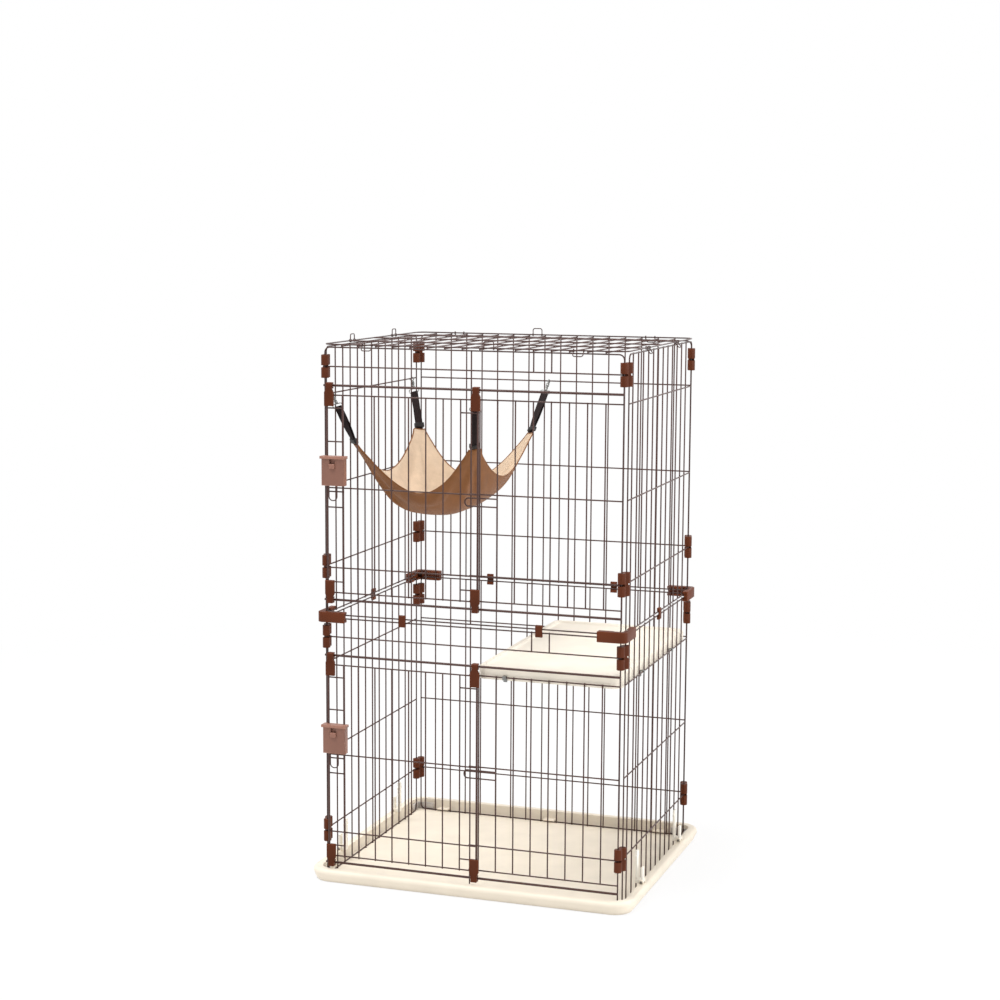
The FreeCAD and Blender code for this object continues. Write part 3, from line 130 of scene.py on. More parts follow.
bpy.ops.mesh.primitive_plane_add(size=FLOOR_WIDTH, location=(0, 0, -FLOOR_DROP))
floor = bpy.context.object
floor.name = "studio_floor"
pale = bpy.data.materials.new("pale_floor")
pale.use_nodes = True
tree = pale.node_tree
tree.nodes.clear()
away = tree.nodes.new("ShaderNodeVectorMath")
away.operation = "LENGTH"
feed(tree, away.inputs[0], tree.nodes.new("ShaderNodeTexCoord").outputs["Object"])
fade = node(tree, "ShaderNodeMapRange", Value=away.outputs["Value"], From_Min=FLOOR_FADE[0],
            From_Max=FLOOR_FADE[1], To_Min=FLOOR_WHITENESS, To_Max=1.0)
grey = node(tree, "ShaderNodeBsdfDiffuse", Color=FLOOR_GREY)
glow = node(tree, "ShaderNodeEmission", Color=WHITE, Strength=1.0)
share = maths(tree, "MULTIPLY", seen_ray(tree), fade.outputs[0])
blend = tree.nodes.new("ShaderNodeMixShader")
for socket, part in zip(blend.inputs, (share, grey.outputs[0], glow.outputs[0])):
    feed(tree, socket, part)
node(tree, "ShaderNodeOutputMaterial", Surface=blend.outputs[0])
floor.data.materials.append(pale)

# Tray: one injection moulding in cream plastic with a rolled rim, a sunk floor, tabs over the back
# wall's bottom wire and ears on the side rims for the levers. Its skin is satin with a fine grain.
CREAM = (238, 227, 209)
BLACK = (0, 0, 0, 1)
TRAY_HALF_X, TRAY_HALF_Y, TRAY_CORNER, TRAY_CORNER_STEPS = 0.358, 0.30775, 0.045, 12
TRAY_BELLY, TRAY_BAND, TRAY_FLARE = 0.0195, 0.0020, 0.008
RIM_ROLL = ((0.0006, 0.0031), (0.0017, 0.0026), (0.0026, 0.0017), (0.0031, 0.0006))
RIM_FLAT, POCKET_SLOPE, POCKET_DEPTH = 0.012, 0.002, 0.0235
TAB_SIZE, TAB_SPACING, TAB_MIDDLE = (0.028, 0.0192, 0.003), 0.266, (0.27965, 0.0088)
LUG_SIZE, LUG_MIDDLE = (0.009, 0.004, 0.0078), (0.344, 0.1588, 0.0284)
LUG_GAP, LUG_PIN_Z, LUG_SIDES = 0.0093, 0.0323, 28
TRAY_EDGE, TAB_EDGE, LUG_EDGE = 0.0014, 0.0008, 0.0005
RIM_ANGLE, SMOOTH_ANGLE = 62, math.radians(40)
LEVEL_FACE = 0.99
ROUND_SIDES = 12
CORNERS = [(side_x, side_y) for side_x in (-1, 1) for side_y in (-1, 1)]
TURN_TO = {"x": (0, math.pi / 2, 0), "y": (math.pi / 2, 0, 0), "z": (0, 0, 0)}


def alone(piece):
    """Selects one object and nothing else."""
    bpy.ops.object.select_all(action="DESELECT")
    piece.select_set(True)
    bpy.context.view_layer.objects.active = piece


def paint(red, green, blue, scale=1.0):
    """A colour given in display values from 0 to 255, as the light it reflects (sRGB curve)."""
    parts = [channel / 255 * scale for channel in (red, green, blue)]
    return tuple(p / 12.92 if p <= 0.04045 else ((p + 0.055) / 1.055) ** 2.4 for p in parts) + (1,)


def new_finish(name):
    """A new material with its shaders and the one that gives its surface."""
    made = bpy.data.materials.new(name)
    made.use_nodes = True
    return made, made.node_tree, made.node_tree.nodes["Principled BSDF"]


def ramp(tree, source, low, high, dark, light):
    """A colour band between two colours, read from a pattern's value."""
    band = tree.nodes.new("ShaderNodeValToRGB")
    for element, position, colour in zip(band.color_ramp.elements, (low, high), (dark, light)):
        element.position = position
        element.color = colour
    tree.links.new(source, band.inputs[0])
    return band.outputs[0]


def mixed(tree, share, first, second, blend="MIX"):
    """Two colours laid over each other, by way of the mixer's three sockets for colours."""
    mix = tree.nodes.new("ShaderNodeMix")
    mix.data_type = "RGBA"
    mix.blend_type = blend
    for socket, part in ((0, share), (6, first), (7, second)):
        feed(tree, mix.inputs[socket], part)
    return mix.outputs[2]


def moulded_finish(name, colour, gloss, grain, depth, fade=0.10, worn=1.12, shine=0.35):
    """Moulded or coated skin: slow colour drift, fine grain, uneven gloss, lighter rubbed edges."""
    made, tree, skin = new_finish(name)
    place = tree.nodes.new("ShaderNodeTexCoord").outputs["Object"]
    drift = node(tree, "ShaderNodeTexNoise", Vector=place, Scale=14.0, Detail=3.0)
    fine = node(tree, "ShaderNodeTexNoise", Vector=place, Scale=grain, Detail=2.0, Roughness=0.6)
    scuff = node(tree, "ShaderNodeTexNoise", Vector=place, Scale=160.0, Detail=5.0, Distortion=1.5)
    body = ramp(tree, drift.outputs[0], 0.3, 0.7, paint(*colour, scale=1 - fade), paint(*colour))
    edge = tree.nodes.new("ShaderNodeNewGeometry").outputs["Pointiness"]
    rubbed = ramp(tree, edge, 0.52, 0.60, BLACK, WHITE)
    lighter = paint(*(min(255, channel * worn + 6) for channel in colour))
    rough = node(tree, "ShaderNodeMapRange", Value=scuff.outputs[0], To_Min=gloss - 0.08,
                 To_Max=gloss + 0.10)
    bump = node(tree, "ShaderNodeBump", Height=fine.outputs[0], Strength=0.35, Distance=depth)
    set_sockets(tree, skin, Base_Color=mixed(tree, rubbed, body, lighter),
                Roughness=rough.outputs[0], Normal=bump.outputs[0], Specular_IOR_Level=shine)
    return made


def rounded(piece, width, steps=2, sharp=32):
    """Rounds the edges that are sharper than an angle, and shades the rest smooth."""
    alone(piece)
    ease = piece.modifiers.new("rounding", "BEVEL")
    ease.width = width
    ease.segments = steps
    ease.limit_method = "ANGLE"
    ease.angle_limit = math.radians(sharp)
    ease.harden_normals = False
    bpy.ops.object.modifier_apply(modifier=ease.name)
    bpy.ops.object.shade_smooth_by_angle(angle=SMOOTH_ANGLE)
    return piece


def dress(piece, finish, body, slot, *solids):
    """Gives a finished piece its material, its body and the solids it stands for; the slot is not
    used.
    """
    piece.data.materials.clear()
    piece.data.materials.append(finish)
    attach(piece, body)
    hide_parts(*solids)


def placed():
    """The object just added, with its place put into its mesh."""
    bpy.ops.object.transform_apply()
    return bpy.context.object


def block(size, middle):
    """A plain block about its middle."""
    bpy.ops.object.select_all(action="DESELECT")
    bpy.ops.mesh.primitive_cube_add(size=1, location=middle)
    bpy.context.object.scale = size
    return placed()


def round_bar(gauge, length, start, along, sides=ROUND_SIDES):
    """A straight round bar from a point along one axis."""
    middle = Vector(start)
    middle["xyz".index(along)] += length / 2
    bpy.ops.object.select_all(action="DESELECT")
    bpy.ops.mesh.primitive_cylinder_add(vertices=sides, radius=gauge / 2, depth=length,
                                        location=middle, rotation=TURN_TO[along])
    return placed()


def joined(name, parts):
    """Puts parts together as one piece."""
    bpy.ops.object.select_all(action="DESELECT")
    for part in parts:
        part.select_set(True)
    bpy.context.view_layer.objects.active = parts[0]
    bpy.ops.object.join()
    bpy.context.object.name = name
    return bpy.context.object


def choose(piece, kind, wanted):
    """Opens a piece for editing with only some of its edges or faces selected."""
    alone(piece)
    bpy.ops.object.mode_set(mode="EDIT")
    bpy.ops.mesh.select_mode(type=kind)
    bpy.ops.mesh.select_all(action="DESELECT")
    bpy.ops.object.mode_set(mode="OBJECT")
    for part in wanted(piece.data):
        part.select = True
    bpy.ops.object.mode_set(mode="EDIT")


def upright_edges(mesh):
    """The edges that stand upright."""
    place = mesh.vertices
    return [edge for edge in mesh.edges
            if (place[edge.vertices[0]].co - place[edge.vertices[1]].co).xy.length < 1e-6]


def tray_shell():
    """A band with round corners, drawn in step by step to the tray's foot, rim and floor."""
    band_middle = (0, 0, TRAY_BELLY - TRAY_BAND / 2)
    shell = block((2 * TRAY_HALF_X, 2 * TRAY_HALF_Y, TRAY_BAND), band_middle)
    choose(shell, "EDGE", upright_edges)
    bpy.ops.mesh.bevel(offset=TRAY_CORNER, segments=TRAY_CORNER_STEPS, affect="EDGES")
    bpy.ops.object.mode_set(mode="OBJECT")
    choose(shell, "FACE", lambda mesh: [f for f in mesh.polygons if f.normal.z < -LEVEL_FACE])
    bpy.ops.mesh.inset(thickness=TRAY_FLARE)
    bpy.ops.transform.translate(value=(0, 0, TRAY_BAND - TRAY_BELLY))
    bpy.ops.object.mode_set(mode="OBJECT")
    choose(shell, "FACE", lambda mesh: [f for f in mesh.polygons if f.normal.z > LEVEL_FACE])
    for inward, upward in RIM_ROLL + ((RIM_FLAT, 0), (POCKET_SLOPE, -POCKET_DEPTH)):
        bpy.ops.mesh.inset(thickness=inward)
        bpy.ops.transform.translate(value=(0, 0, upward))
    bpy.ops.mesh.select_mode(type="VERT")
    bpy.ops.object.mode_set(mode="OBJECT")
    return rounded(shell, TRAY_EDGE, steps=3, sharp=40)


cream_plastic = moulded_finish("cream_plastic", CREAM, gloss=0.42, grain=900.0, depth=0.00012,
                               fade=0.04, worn=1.03)
tray_parts = []
for step in (-1, 0, 1):
    tray_parts.append(rounded(block(TAB_SIZE, (step * TAB_SPACING, *TAB_MIDDLE)), TAB_EDGE))
for side_x, side_y in CORNERS:
    for offset in (-LUG_GAP, LUG_GAP):
        lug_x, lug_y = side_x * LUG_MIDDLE[0], side_y * LUG_MIDDLE[1] + offset
        ear_start = (lug_x, lug_y - LUG_SIZE[1] / 2, LUG_PIN_Z)
        ear = round_bar(LUG_SIZE[0], LUG_SIZE[1], ear_start, "y", LUG_SIDES)
        foot = block(LUG_SIZE, (lug_x, lug_y, LUG_MIDDLE[2]))
        tray_parts.append(rounded(joined("lug", [ear, foot]), LUG_EDGE, sharp=RIM_ANGLE))
tray = joined("tray_moulding", [tray_shell()] + tray_parts)
dress(tray, cream_plastic, "cage", "tray_plastic", "tray")

# Corner sockets: four low grey angle pieces moulded by themselves and pressed on the tray floor,
# where they keep the feet of the walls in place.
GREY = (184, 178, 172)
grey_plastic = moulded_finish("grey_plastic", GREY, gloss=0.45, grain=1100.0, depth=0.0001)


def moulded_copy(solid, edge, steps=2, whole=True):
    """A copy of a solid with whole faces in place of triangles, its edges rounded as in a mould."""
    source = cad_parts[solid]
    piece = bpy.data.objects.new(f"{solid}_moulding", source.data.copy())
    bpy.context.collection.objects.link(piece)
    alone(piece)
    bpy.ops.mesh.customdata_custom_splitnormals_clear()
    bpy.ops.object.mode_set(mode="EDIT")
    bpy.ops.mesh.select_all(action="SELECT")
    bpy.ops.mesh.remove_doubles(threshold=0.00001)
    if whole:
        bpy.ops.mesh.dissolve_limited(angle_limit=math.radians(0.5))
    else:
        bpy.ops.mesh.tris_convert_to_quads(face_threshold=math.radians(1), shape_threshold=math.pi)
    bpy.ops.object.mode_set(mode="OBJECT")
    return rounded(piece, edge, steps)


sockets = moulded_copy("corner_sockets", edge=0.0009)
dress(sockets, grey_plastic, "cage", "socket_plastic", "corner_sockets")

# Tray levers: four off-white moulded arms on the side rims. Each turns on a plated pin between two
# ears of the tray and is pushed up against the wall to hold it down.
OFF_WHITE, PIN_GREY = (235, 230, 219), (150, 150, 148)
PIN_GAUGE, PIN_LENGTH, PIN_HEAD = 0.003, 0.0226, (0.0046, 0.0010)
PIN_EDGE, PIN_SIDES = 0.0003, 20
lever_plastic = moulded_finish("lever_plastic", OFF_WHITE, gloss=0.40, grain=1000.0, depth=0.0001,
                               fade=0.04, worn=1.03)


def bright_finish(name, colour, gloss):
    """Plated steel: drawn streaks in the gloss and a faint cloud in the plating."""
    made, tree, skin = new_finish(name)
    place = tree.nodes.new("ShaderNodeTexCoord").outputs["Object"]
    cloud = node(tree, "ShaderNodeTexNoise", Vector=place, Scale=220.0, Detail=4.0)
    streak = node(tree, "ShaderNodeTexNoise", Vector=place, Scale=1500.0, Detail=2.0)
    plating = ramp(tree, cloud.outputs[0], 0.3, 0.7, paint(*colour, scale=0.82), paint(*colour))
    rough = node(tree, "ShaderNodeMapRange", Value=cloud.outputs[0], To_Min=gloss - 0.06,
                 To_Max=gloss + 0.12)
    bump = node(tree, "ShaderNodeBump", Height=streak.outputs[0], Strength=0.2, Distance=0.00004)
    set_sockets(tree, skin, Base_Color=plating, Metallic=1.0, Roughness=rough.outputs[0],
                Normal=bump.outputs[0])
    return made


plated_steel = bright_finish("plated_steel", PIN_GREY, gloss=0.30)
for corner in ("front_right", "front_left", "back_right", "back_left"):
    arm = moulded_copy(f"lever_{corner}", edge=0.0012, steps=3)
    dress(arm, lever_plastic, f"lever_{corner}", "lever_plastic", f"lever_{corner}")
pins = []
for side_x, side_y in CORNERS:
    pin_x, pin_end = side_x * LUG_MIDDLE[0], side_y * LUG_MIDDLE[1] - PIN_LENGTH / 2
    pins.append(round_bar(PIN_GAUGE, PIN_LENGTH, (pin_x, pin_end, LUG_PIN_Z), "y", PIN_SIDES))
    for head_y in (pin_end, pin_end + PIN_LENGTH):
        head_start = (pin_x, head_y - PIN_HEAD[1] / 2, LUG_PIN_Z)
        pins.append(round_bar(PIN_HEAD[0], PIN_HEAD[1], head_start, "y", PIN_SIDES))
hinge_pins = rounded(joined("lever_hinge_pins", pins), PIN_EDGE, sharp=RIM_ANGLE)
dress(hinge_pins, plated_steel, "cage", "bright_steel", "lever_pins")

# Walls: welded panels of round steel wire under a baked brown coat. Each has one wire bent round as
# its border, cross wires in line with it and upright wires welded on the inside of both.
BROWN_COAT = (64, 40, 35)
WIRE, WELD, CUT_ROUNDING = 0.003, 0.00165, 0.0004
CORNER_BEND, BEND_STEPS = 0.011, 6
WIRE_SMOOTH_ANGLE = math.radians(55)
HALF_WIDTH, HALF_SIDE, PANEL_HEIGHT = 0.323, 0.25805, 0.564
BACK_PLANE, SIDE_PLANE = 0.27605, 0.328
BACK_UPRIGHTS, SIDE_UPRIGHTS = 16, 12
FRONT_PITCH, SIDE_PITCH = 0.038, 0.0397
LOWER_BASE, TIER_STEP = 0.0055, 0.5716
LOW_WIRE, MID_WIRE, HIGH_WIRE = 0.102, 0.271, 0.465
MIDDLE_HEIGHT = LOWER_BASE + PANEL_HEIGHT / 2
CROSS_LEVELS = [LOWER_BASE + level for level in (LOW_WIRE, MID_WIRE, HIGH_WIRE)]
WELD_LEVELS = [LOWER_BASE, LOWER_BASE + PANEL_HEIGHT] + CROSS_LEVELS
UPRIGHT_LENGTH, UPRIGHT_FOOT = PANEL_HEIGHT + WIRE, LOWER_BASE - WIRE / 2
SIDE_TURN = (math.pi / 2, 0, math.pi / 2)
brown_coat = moulded_finish("brown_coat", BROWN_COAT, gloss=0.36, grain=700.0, depth=0.00008,
                            fade=0.14, worn=1.15)


def in_a_row(piece, count, step):
    """Repeats a piece at even steps."""
    alone(piece)
    row = piece.modifiers.new("row", "ARRAY")
    row.use_relative_offset = False
    row.use_constant_offset = True
    row.constant_offset_displace = step
    row.count = count
    bpy.ops.object.modifier_apply(modifier=row.name)
    return piece


def weld_row(first, count, step):
    """The welds where one wire crosses a row of others."""
    bpy.ops.object.select_all(action="DESELECT")
    bpy.ops.mesh.primitive_uv_sphere_add(segments=8, ring_count=5, radius=WELD, location=first)
    return in_a_row(placed(), count, step)


def skinned(line, gauge):
    """Gives a bent line the round thickness of its wire."""
    alone(line)
    bpy.ops.object.convert(target="CURVE")
    wire = bpy.context.object
    wire.data.dimensions = "3D"
    wire.data.fill_mode = "FULL"
    wire.data.bevel_depth = gauge / 2
    wire.data.bevel_resolution = ROUND_SIDES // 2 - 2
    wire.data.use_fill_caps = True
    bpy.ops.object.convert(target="MESH")
    return bpy.context.object


def bent_border(half_long, half_tall, middle, turn, gauge, bend=CORNER_BEND):
    """One wire bent into a rectangle."""
    bpy.ops.object.select_all(action="DESELECT")
    bpy.ops.mesh.primitive_plane_add(size=2, location=middle, rotation=turn)
    bpy.context.object.scale = (half_long, half_tall, 1)
    line = placed()
    bpy.ops.object.mode_set(mode="EDIT")
    bpy.ops.mesh.select_all(action="SELECT")
    bpy.ops.mesh.delete(type="ONLY_FACE")
    bpy.ops.mesh.select_all(action="SELECT")
    bpy.ops.mesh.bevel(offset=bend, segments=BEND_STEPS, affect="VERTICES")
    bpy.ops.object.mode_set(mode="OBJECT")
    return skinned(line, gauge)


def welded(name, bars):
    """Joins wires into one panel, with the sharp rims of their cut ends taken off."""
    panel = rounded(joined(name, bars), CUT_ROUNDING, sharp=RIM_ANGLE)
    bpy.ops.object.shade_smooth_by_angle(angle=WIRE_SMOOTH_ANGLE)
    return panel


def copied(piece, name, move):
    """A copy of a finished piece with its own mesh, moved or mirrored."""
    twin = bpy.data.objects.new(name, piece.data.copy())
    bpy.context.collection.objects.link(twin)
    twin.data.transform(move)
    if move.determinant() < 0:
        twin.data.flip_normals()
    return twin


def plain_wall(name, along, half_long, plane, turn, uprights, pitch):
    """A wall along X or Y: border, cross wires, a row of uprights and the welds between them."""
    def spot(run, depth, height):
        return (run, depth, height) if along == "x" else (depth, run, height)

    first, step = -(uprights - 1) / 2 * pitch, spot(pitch, 0, 0)
    bars = [bent_border(half_long, PANEL_HEIGHT / 2, spot(0, plane, MIDDLE_HEIGHT), turn, WIRE)]
    for height in CROSS_LEVELS:
        start = spot(WIRE / 2 - half_long, plane, height)
        bars.append(round_bar(WIRE, 2 * half_long - WIRE, start, along))
    upright = round_bar(WIRE, UPRIGHT_LENGTH, spot(first, plane - WIRE, UPRIGHT_FOOT), "z")
    bars.append(in_a_row(upright, uprights, step))
    for height in WELD_LEVELS:
        bars.append(weld_row(spot(first, plane - WIRE / 2, height), uprights, step))
    return welded(name, bars)


def both_tiers(panel, kind):
    """Dresses a lower panel and its copy in the upper tier."""
    upper = copied(panel, f"upper_{kind}_wires", Matrix.Translation((0, 0, TIER_STEP)))
    dress(panel, brown_coat, "cage", "wire", f"lower_{kind}_panel")
    dress(upper, brown_coat, "cage", "wire", f"upper_{kind}_panel")


back_wall = plain_wall("lower_back_wires", "x", HALF_WIDTH, BACK_PLANE, TURN_TO["y"],
                       BACK_UPRIGHTS, FRONT_PITCH)
both_tiers(back_wall, "back")
right_wall = plain_wall("lower_right_wires", "y", HALF_SIDE, SIDE_PLANE, SIDE_TURN,
                        SIDE_UPRIGHTS, SIDE_PITCH)
both_tiers(copied(right_wall, "lower_left_wires", Matrix.Scale(-1, 4, (1, 0, 0))), "left")
both_tiers(right_wall, "right")

# Front wall: the same welded wire, but with a doorway on the left. Two thick rails run right across
# for the sliding door, a grille fills the right half and a bent keeper wire reaches into the
# doorway.
RAIL, LOW_RAIL, TOP_RAIL = 0.005, 0.033, 0.485
SILL_WIRE, TIE_WIRE, TIE_SPACES = 0.049, 0.524, 3.5
KEEPER_LOW, KEEPER_HIGH, KEEPER_REACH = 0.246, 0.263, 0.012
KEEPER_SPACES, KEEPER_BEND = 1.5, 0.0075
GRILLE_UPRIGHTS = 8
FRONT_PLANE = -BACK_PLANE
RAIL_LINE = FRONT_PLANE - WIRE / 2 - RAIL / 2
INSIDE, INSIDE_WELD = FRONT_PLANE + WIRE, FRONT_PLANE + WIRE / 2
GRILLE_LEVELS = [LOWER_BASE + level for level in (SILL_WIRE, LOW_WIRE, MID_WIRE, HIGH_WIRE)]
GRILLE_LENGTH, GRILLE_FOOT = HIGH_WIRE - SILL_WIRE + WIRE, GRILLE_LEVELS[0] - WIRE / 2
NEXT_BAR = (FRONT_PITCH, 0, 0)


def bent_wire(points, gauge, bend):
    """One wire drawn from point to point, with round bends."""
    bpy.ops.object.select_all(action="DESELECT")
    bpy.ops.mesh.primitive_plane_add(size=gauge, location=points[0])
    line = placed()
    bpy.ops.object.mode_set(mode="EDIT")
    bpy.ops.mesh.select_all(action="SELECT")
    bpy.ops.mesh.merge(type="CENTER")
    for before, after in zip(points, points[1:]):
        stretch = {"value": Vector(after) - Vector(before)}
        bpy.ops.mesh.extrude_region_move(TRANSFORM_OT_translate=stretch)
    bpy.ops.object.mode_set(mode="OBJECT")
    uses = Counter(end for edge in line.data.edges for end in edge.vertices)
    for edge in line.data.edges:
        edge.select = False
    for vertex in line.data.vertices:
        vertex.select = uses[vertex.index] == 2
    bpy.ops.object.mode_set(mode="EDIT")
    bpy.ops.mesh.bevel(offset=bend, segments=BEND_STEPS, affect="VERTICES")
    bpy.ops.object.mode_set(mode="OBJECT")
    return skinned(line, gauge)


front_bars = [bent_border(HALF_WIDTH, PANEL_HEIGHT / 2, (0, FRONT_PLANE, MIDDLE_HEIGHT),
                          TURN_TO["y"], WIRE)]
tie_level = LOWER_BASE + TIE_WIRE
front_bars.append(round_bar(WIRE, 2 * HALF_WIDTH - WIRE,
                            (WIRE / 2 - HALF_WIDTH, FRONT_PLANE, tie_level), "x"))
for height in (LOWER_BASE + LOW_RAIL, LOWER_BASE + TOP_RAIL):
    front_bars.append(round_bar(RAIL, 2 * HALF_WIDTH + WIRE,
                                (-HALF_WIDTH - WIRE / 2, RAIL_LINE, height), "x"))
    front_bars.append(weld_row((-HALF_WIDTH, FRONT_PLANE - WIRE / 2, height), 2,
                               (2 * HALF_WIDTH, 0, 0)))
front_bars.append(round_bar(WIRE, UPRIGHT_LENGTH, (0, INSIDE, UPRIGHT_FOOT), "z"))
grille_x = FRONT_PITCH / 2
for height in GRILLE_LEVELS:
    front_bars.append(round_bar(WIRE, HALF_WIDTH, (-WIRE / 2, FRONT_PLANE, height), "x"))
    front_bars.append(weld_row((grille_x, INSIDE_WELD, height), GRILLE_UPRIGHTS, NEXT_BAR))
    front_bars.append(weld_row((0, INSIDE_WELD, height), 1, (0, 0, 0)))
upright = round_bar(WIRE, GRILLE_LENGTH, (grille_x, INSIDE, GRILLE_FOOT), "z")
front_bars.append(in_a_row(upright, GRILLE_UPRIGHTS, NEXT_BAR))
tie = round_bar(WIRE, PANEL_HEIGHT - TIE_WIRE + WIRE,
                (TIE_SPACES * FRONT_PITCH, INSIDE, tie_level - WIRE / 2), "z")
front_bars.append(in_a_row(tie, 2, NEXT_BAR))
keeper_end = KEEPER_SPACES * FRONT_PITCH + WIRE / 2
keeper_levels = [LOWER_BASE + level for level in (KEEPER_LOW, KEEPER_HIGH)]
front_bars.append(bent_wire([(keeper_end, FRONT_PLANE, keeper_levels[0]),
                             (-KEEPER_REACH, FRONT_PLANE, keeper_levels[0]),
                             (-KEEPER_REACH, FRONT_PLANE, keeper_levels[1]),
                             (keeper_end, FRONT_PLANE, keeper_levels[1])], WIRE, KEEPER_BEND))
for height in keeper_levels:
    front_bars.append(weld_row((grille_x, INSIDE_WELD, height), 2, NEXT_BAR))
both_tiers(welded("lower_front_wires", front_bars), "front")

# Corner clips, corner brackets and rail clips: red-brown mouldings. The clips snap over the posts
# of two walls, the brackets and rail clips pinch the doubled wires where the tiers meet. Plain
# cores fill the brackets' channels, so that they look solid from outside.
RED_BROWN = (88, 43, 23)
BRACKET_CORES = (((0.2775, 0.2782, 0.5672), (0.3220, 0.2882, 0.5794)),
                 ((0.3299, 0.2175, 0.5672), (0.3352, 0.2740, 0.5794)))
CORE_EDGE = 0.0008
red_brown_plastic = moulded_finish("red_brown_plastic", RED_BROWN, gloss=0.46, grain=1000.0,
                                   depth=0.0001, fade=0.10, worn=1.2, shine=0.12)
for tier in ("lower", "upper"):
    clips = moulded_copy(f"{tier}_corner_clips", edge=0.0020, steps=3)
    dress(clips, red_brown_plastic, "cage", "brown_plastic", f"{tier}_corner_clips")
brackets = moulded_copy("corner_brackets", edge=0.0010)
dress(brackets, red_brown_plastic, "cage", "brown_plastic", "corner_brackets")
cores = []
for side_x, side_y in CORNERS:
    for low, high in BRACKET_CORES:
        size = [b - a for a, b in zip(low, high)]
        middle = [(a + b) / 2 * side for a, b, side in zip(low, high, (side_x, side_y, 1))]
        cores.append(block(size, middle))
bracket_cores = rounded(joined("bracket_cores", cores), CORE_EDGE, sharp=40)
dress(bracket_cores, red_brown_plastic, "cage", "brown_plastic", "corner_brackets")
rail_clips = moulded_copy("rail_clips", edge=0.0006)
dress(rail_clips, red_brown_plastic, "cage", "brown_plastic", "rail_clips")

# Sliding doors: welded grilles whose upright bars stand in front of the cross wires. Two thick
# stiles joined by rungs carry the lock on the left, a third stile closes the right edge.
STILE, STILE_SPACING = 0.0045, 0.0356
DOOR_LEFT, DOOR_RIGHT, DOOR_STANDOFF = -0.3143, 0.0196, 0.0068
RUNGS = (0.072, 0.230, 0.263, 0.368, 0.438)
DOOR_LINE = FRONT_PLANE - DOOR_STANDOFF
DOOR_WELD = DOOR_LINE - WIRE / 2
DOOR_UPRIGHTS = round((DOOR_RIGHT - DOOR_LEFT - STILE_SPACING) / FRONT_PITCH) - 1
NEXT_STILE = (STILE_SPACING, 0, 0)
door_x = DOOR_RIGHT - DOOR_UPRIGHTS * FRONT_PITCH
rung_levels = [LOWER_BASE + level for level in RUNGS]
door_bars = []
for height in GRILLE_LEVELS:
    door_bars.append(round_bar(WIRE, DOOR_RIGHT - DOOR_LEFT, (DOOR_LEFT, DOOR_LINE, height), "x"))
for x in (DOOR_LEFT, DOOR_LEFT + STILE_SPACING, DOOR_RIGHT):
    stile_foot = (x, DOOR_WELD - STILE / 2, GRILLE_FOOT)
    door_bars.append(round_bar(STILE, GRILLE_LENGTH, stile_foot, "z"))
upright = round_bar(WIRE, GRILLE_LENGTH, (door_x, DOOR_LINE - WIRE, GRILLE_FOOT), "z")
door_bars.append(in_a_row(upright, DOOR_UPRIGHTS, NEXT_BAR))
for height in GRILLE_LEVELS:
    door_bars.append(weld_row((door_x, DOOR_WELD, height), DOOR_UPRIGHTS + 1, NEXT_BAR))
    door_bars.append(weld_row((DOOR_LEFT, DOOR_WELD, height), 2, NEXT_STILE))
for height in rung_levels:
    door_bars.append(round_bar(WIRE, STILE_SPACING, (DOOR_LEFT, DOOR_LINE, height), "x"))
    door_bars.append(weld_row((DOOR_LEFT, DOOR_WELD, height), 2, NEXT_STILE))
for height in (rung_levels[0], rung_levels[-1]):
    rung_start = (DOOR_RIGHT - FRONT_PITCH, DOOR_LINE, height)
    door_bars.append(round_bar(WIRE, FRONT_PITCH, rung_start, "x"))
lower_door = welded("lower_door_wires", door_bars)
upper_door = copied(lower_door, "upper_door_wires", Matrix.Translation((0, 0, TIER_STEP)))
for tier, door in (("lower", lower_door), ("upper", upper_door)):
    dress(door, brown_coat, f"{tier}_door", "wire", f"{tier}_door_mesh")

# Door runners: moulded hooks at the corners of each door. They grip a stile and ride on the two
# thick rails of the front wall.
for tier in ("lower", "upper"):
    runners = moulded_copy(f"{tier}_door_runners", edge=0.0007)
    dress(runners, red_brown_plastic, f"{tier}_door", "brown_plastic", f"{tier}_door_runners")

# Door locks: a light brown moulded case hung on the two stiles. The slide inside it has a thumb tab
# in the front window and a bent wire below, which is pulled up to free the door.
ROSE_BROWN = (140, 98, 83)
LOCK_X, LOCK_PLATE_Y, LOCK_RISE = -0.2965, -0.29845, 0.277
COVER_SIZE, COVER_Y, COVER_RISE = (0.0452, 0.0020, 0.0572), -0.29565, 0.0024
PLATE_SIZE, PLATE_RISE = (0.0240, 0.0030, 0.0370), 0.009
THUMB_SIZE, THUMB_RISE, THUMB_FRONT = (0.0120, 0.0097, 0.0100), 0.036, -0.30665
PULL_HALF, PULL_DROP, PULL_BEND, PULL_GAUGE = 0.009, 0.031, 0.0085, 0.0024
SLIDE_EDGE = 0.0009
rose_plastic = moulded_finish("rose_plastic", ROSE_BROWN, gloss=0.38, grain=1000.0, depth=0.0001,
                              fade=0.06, worn=1.10)

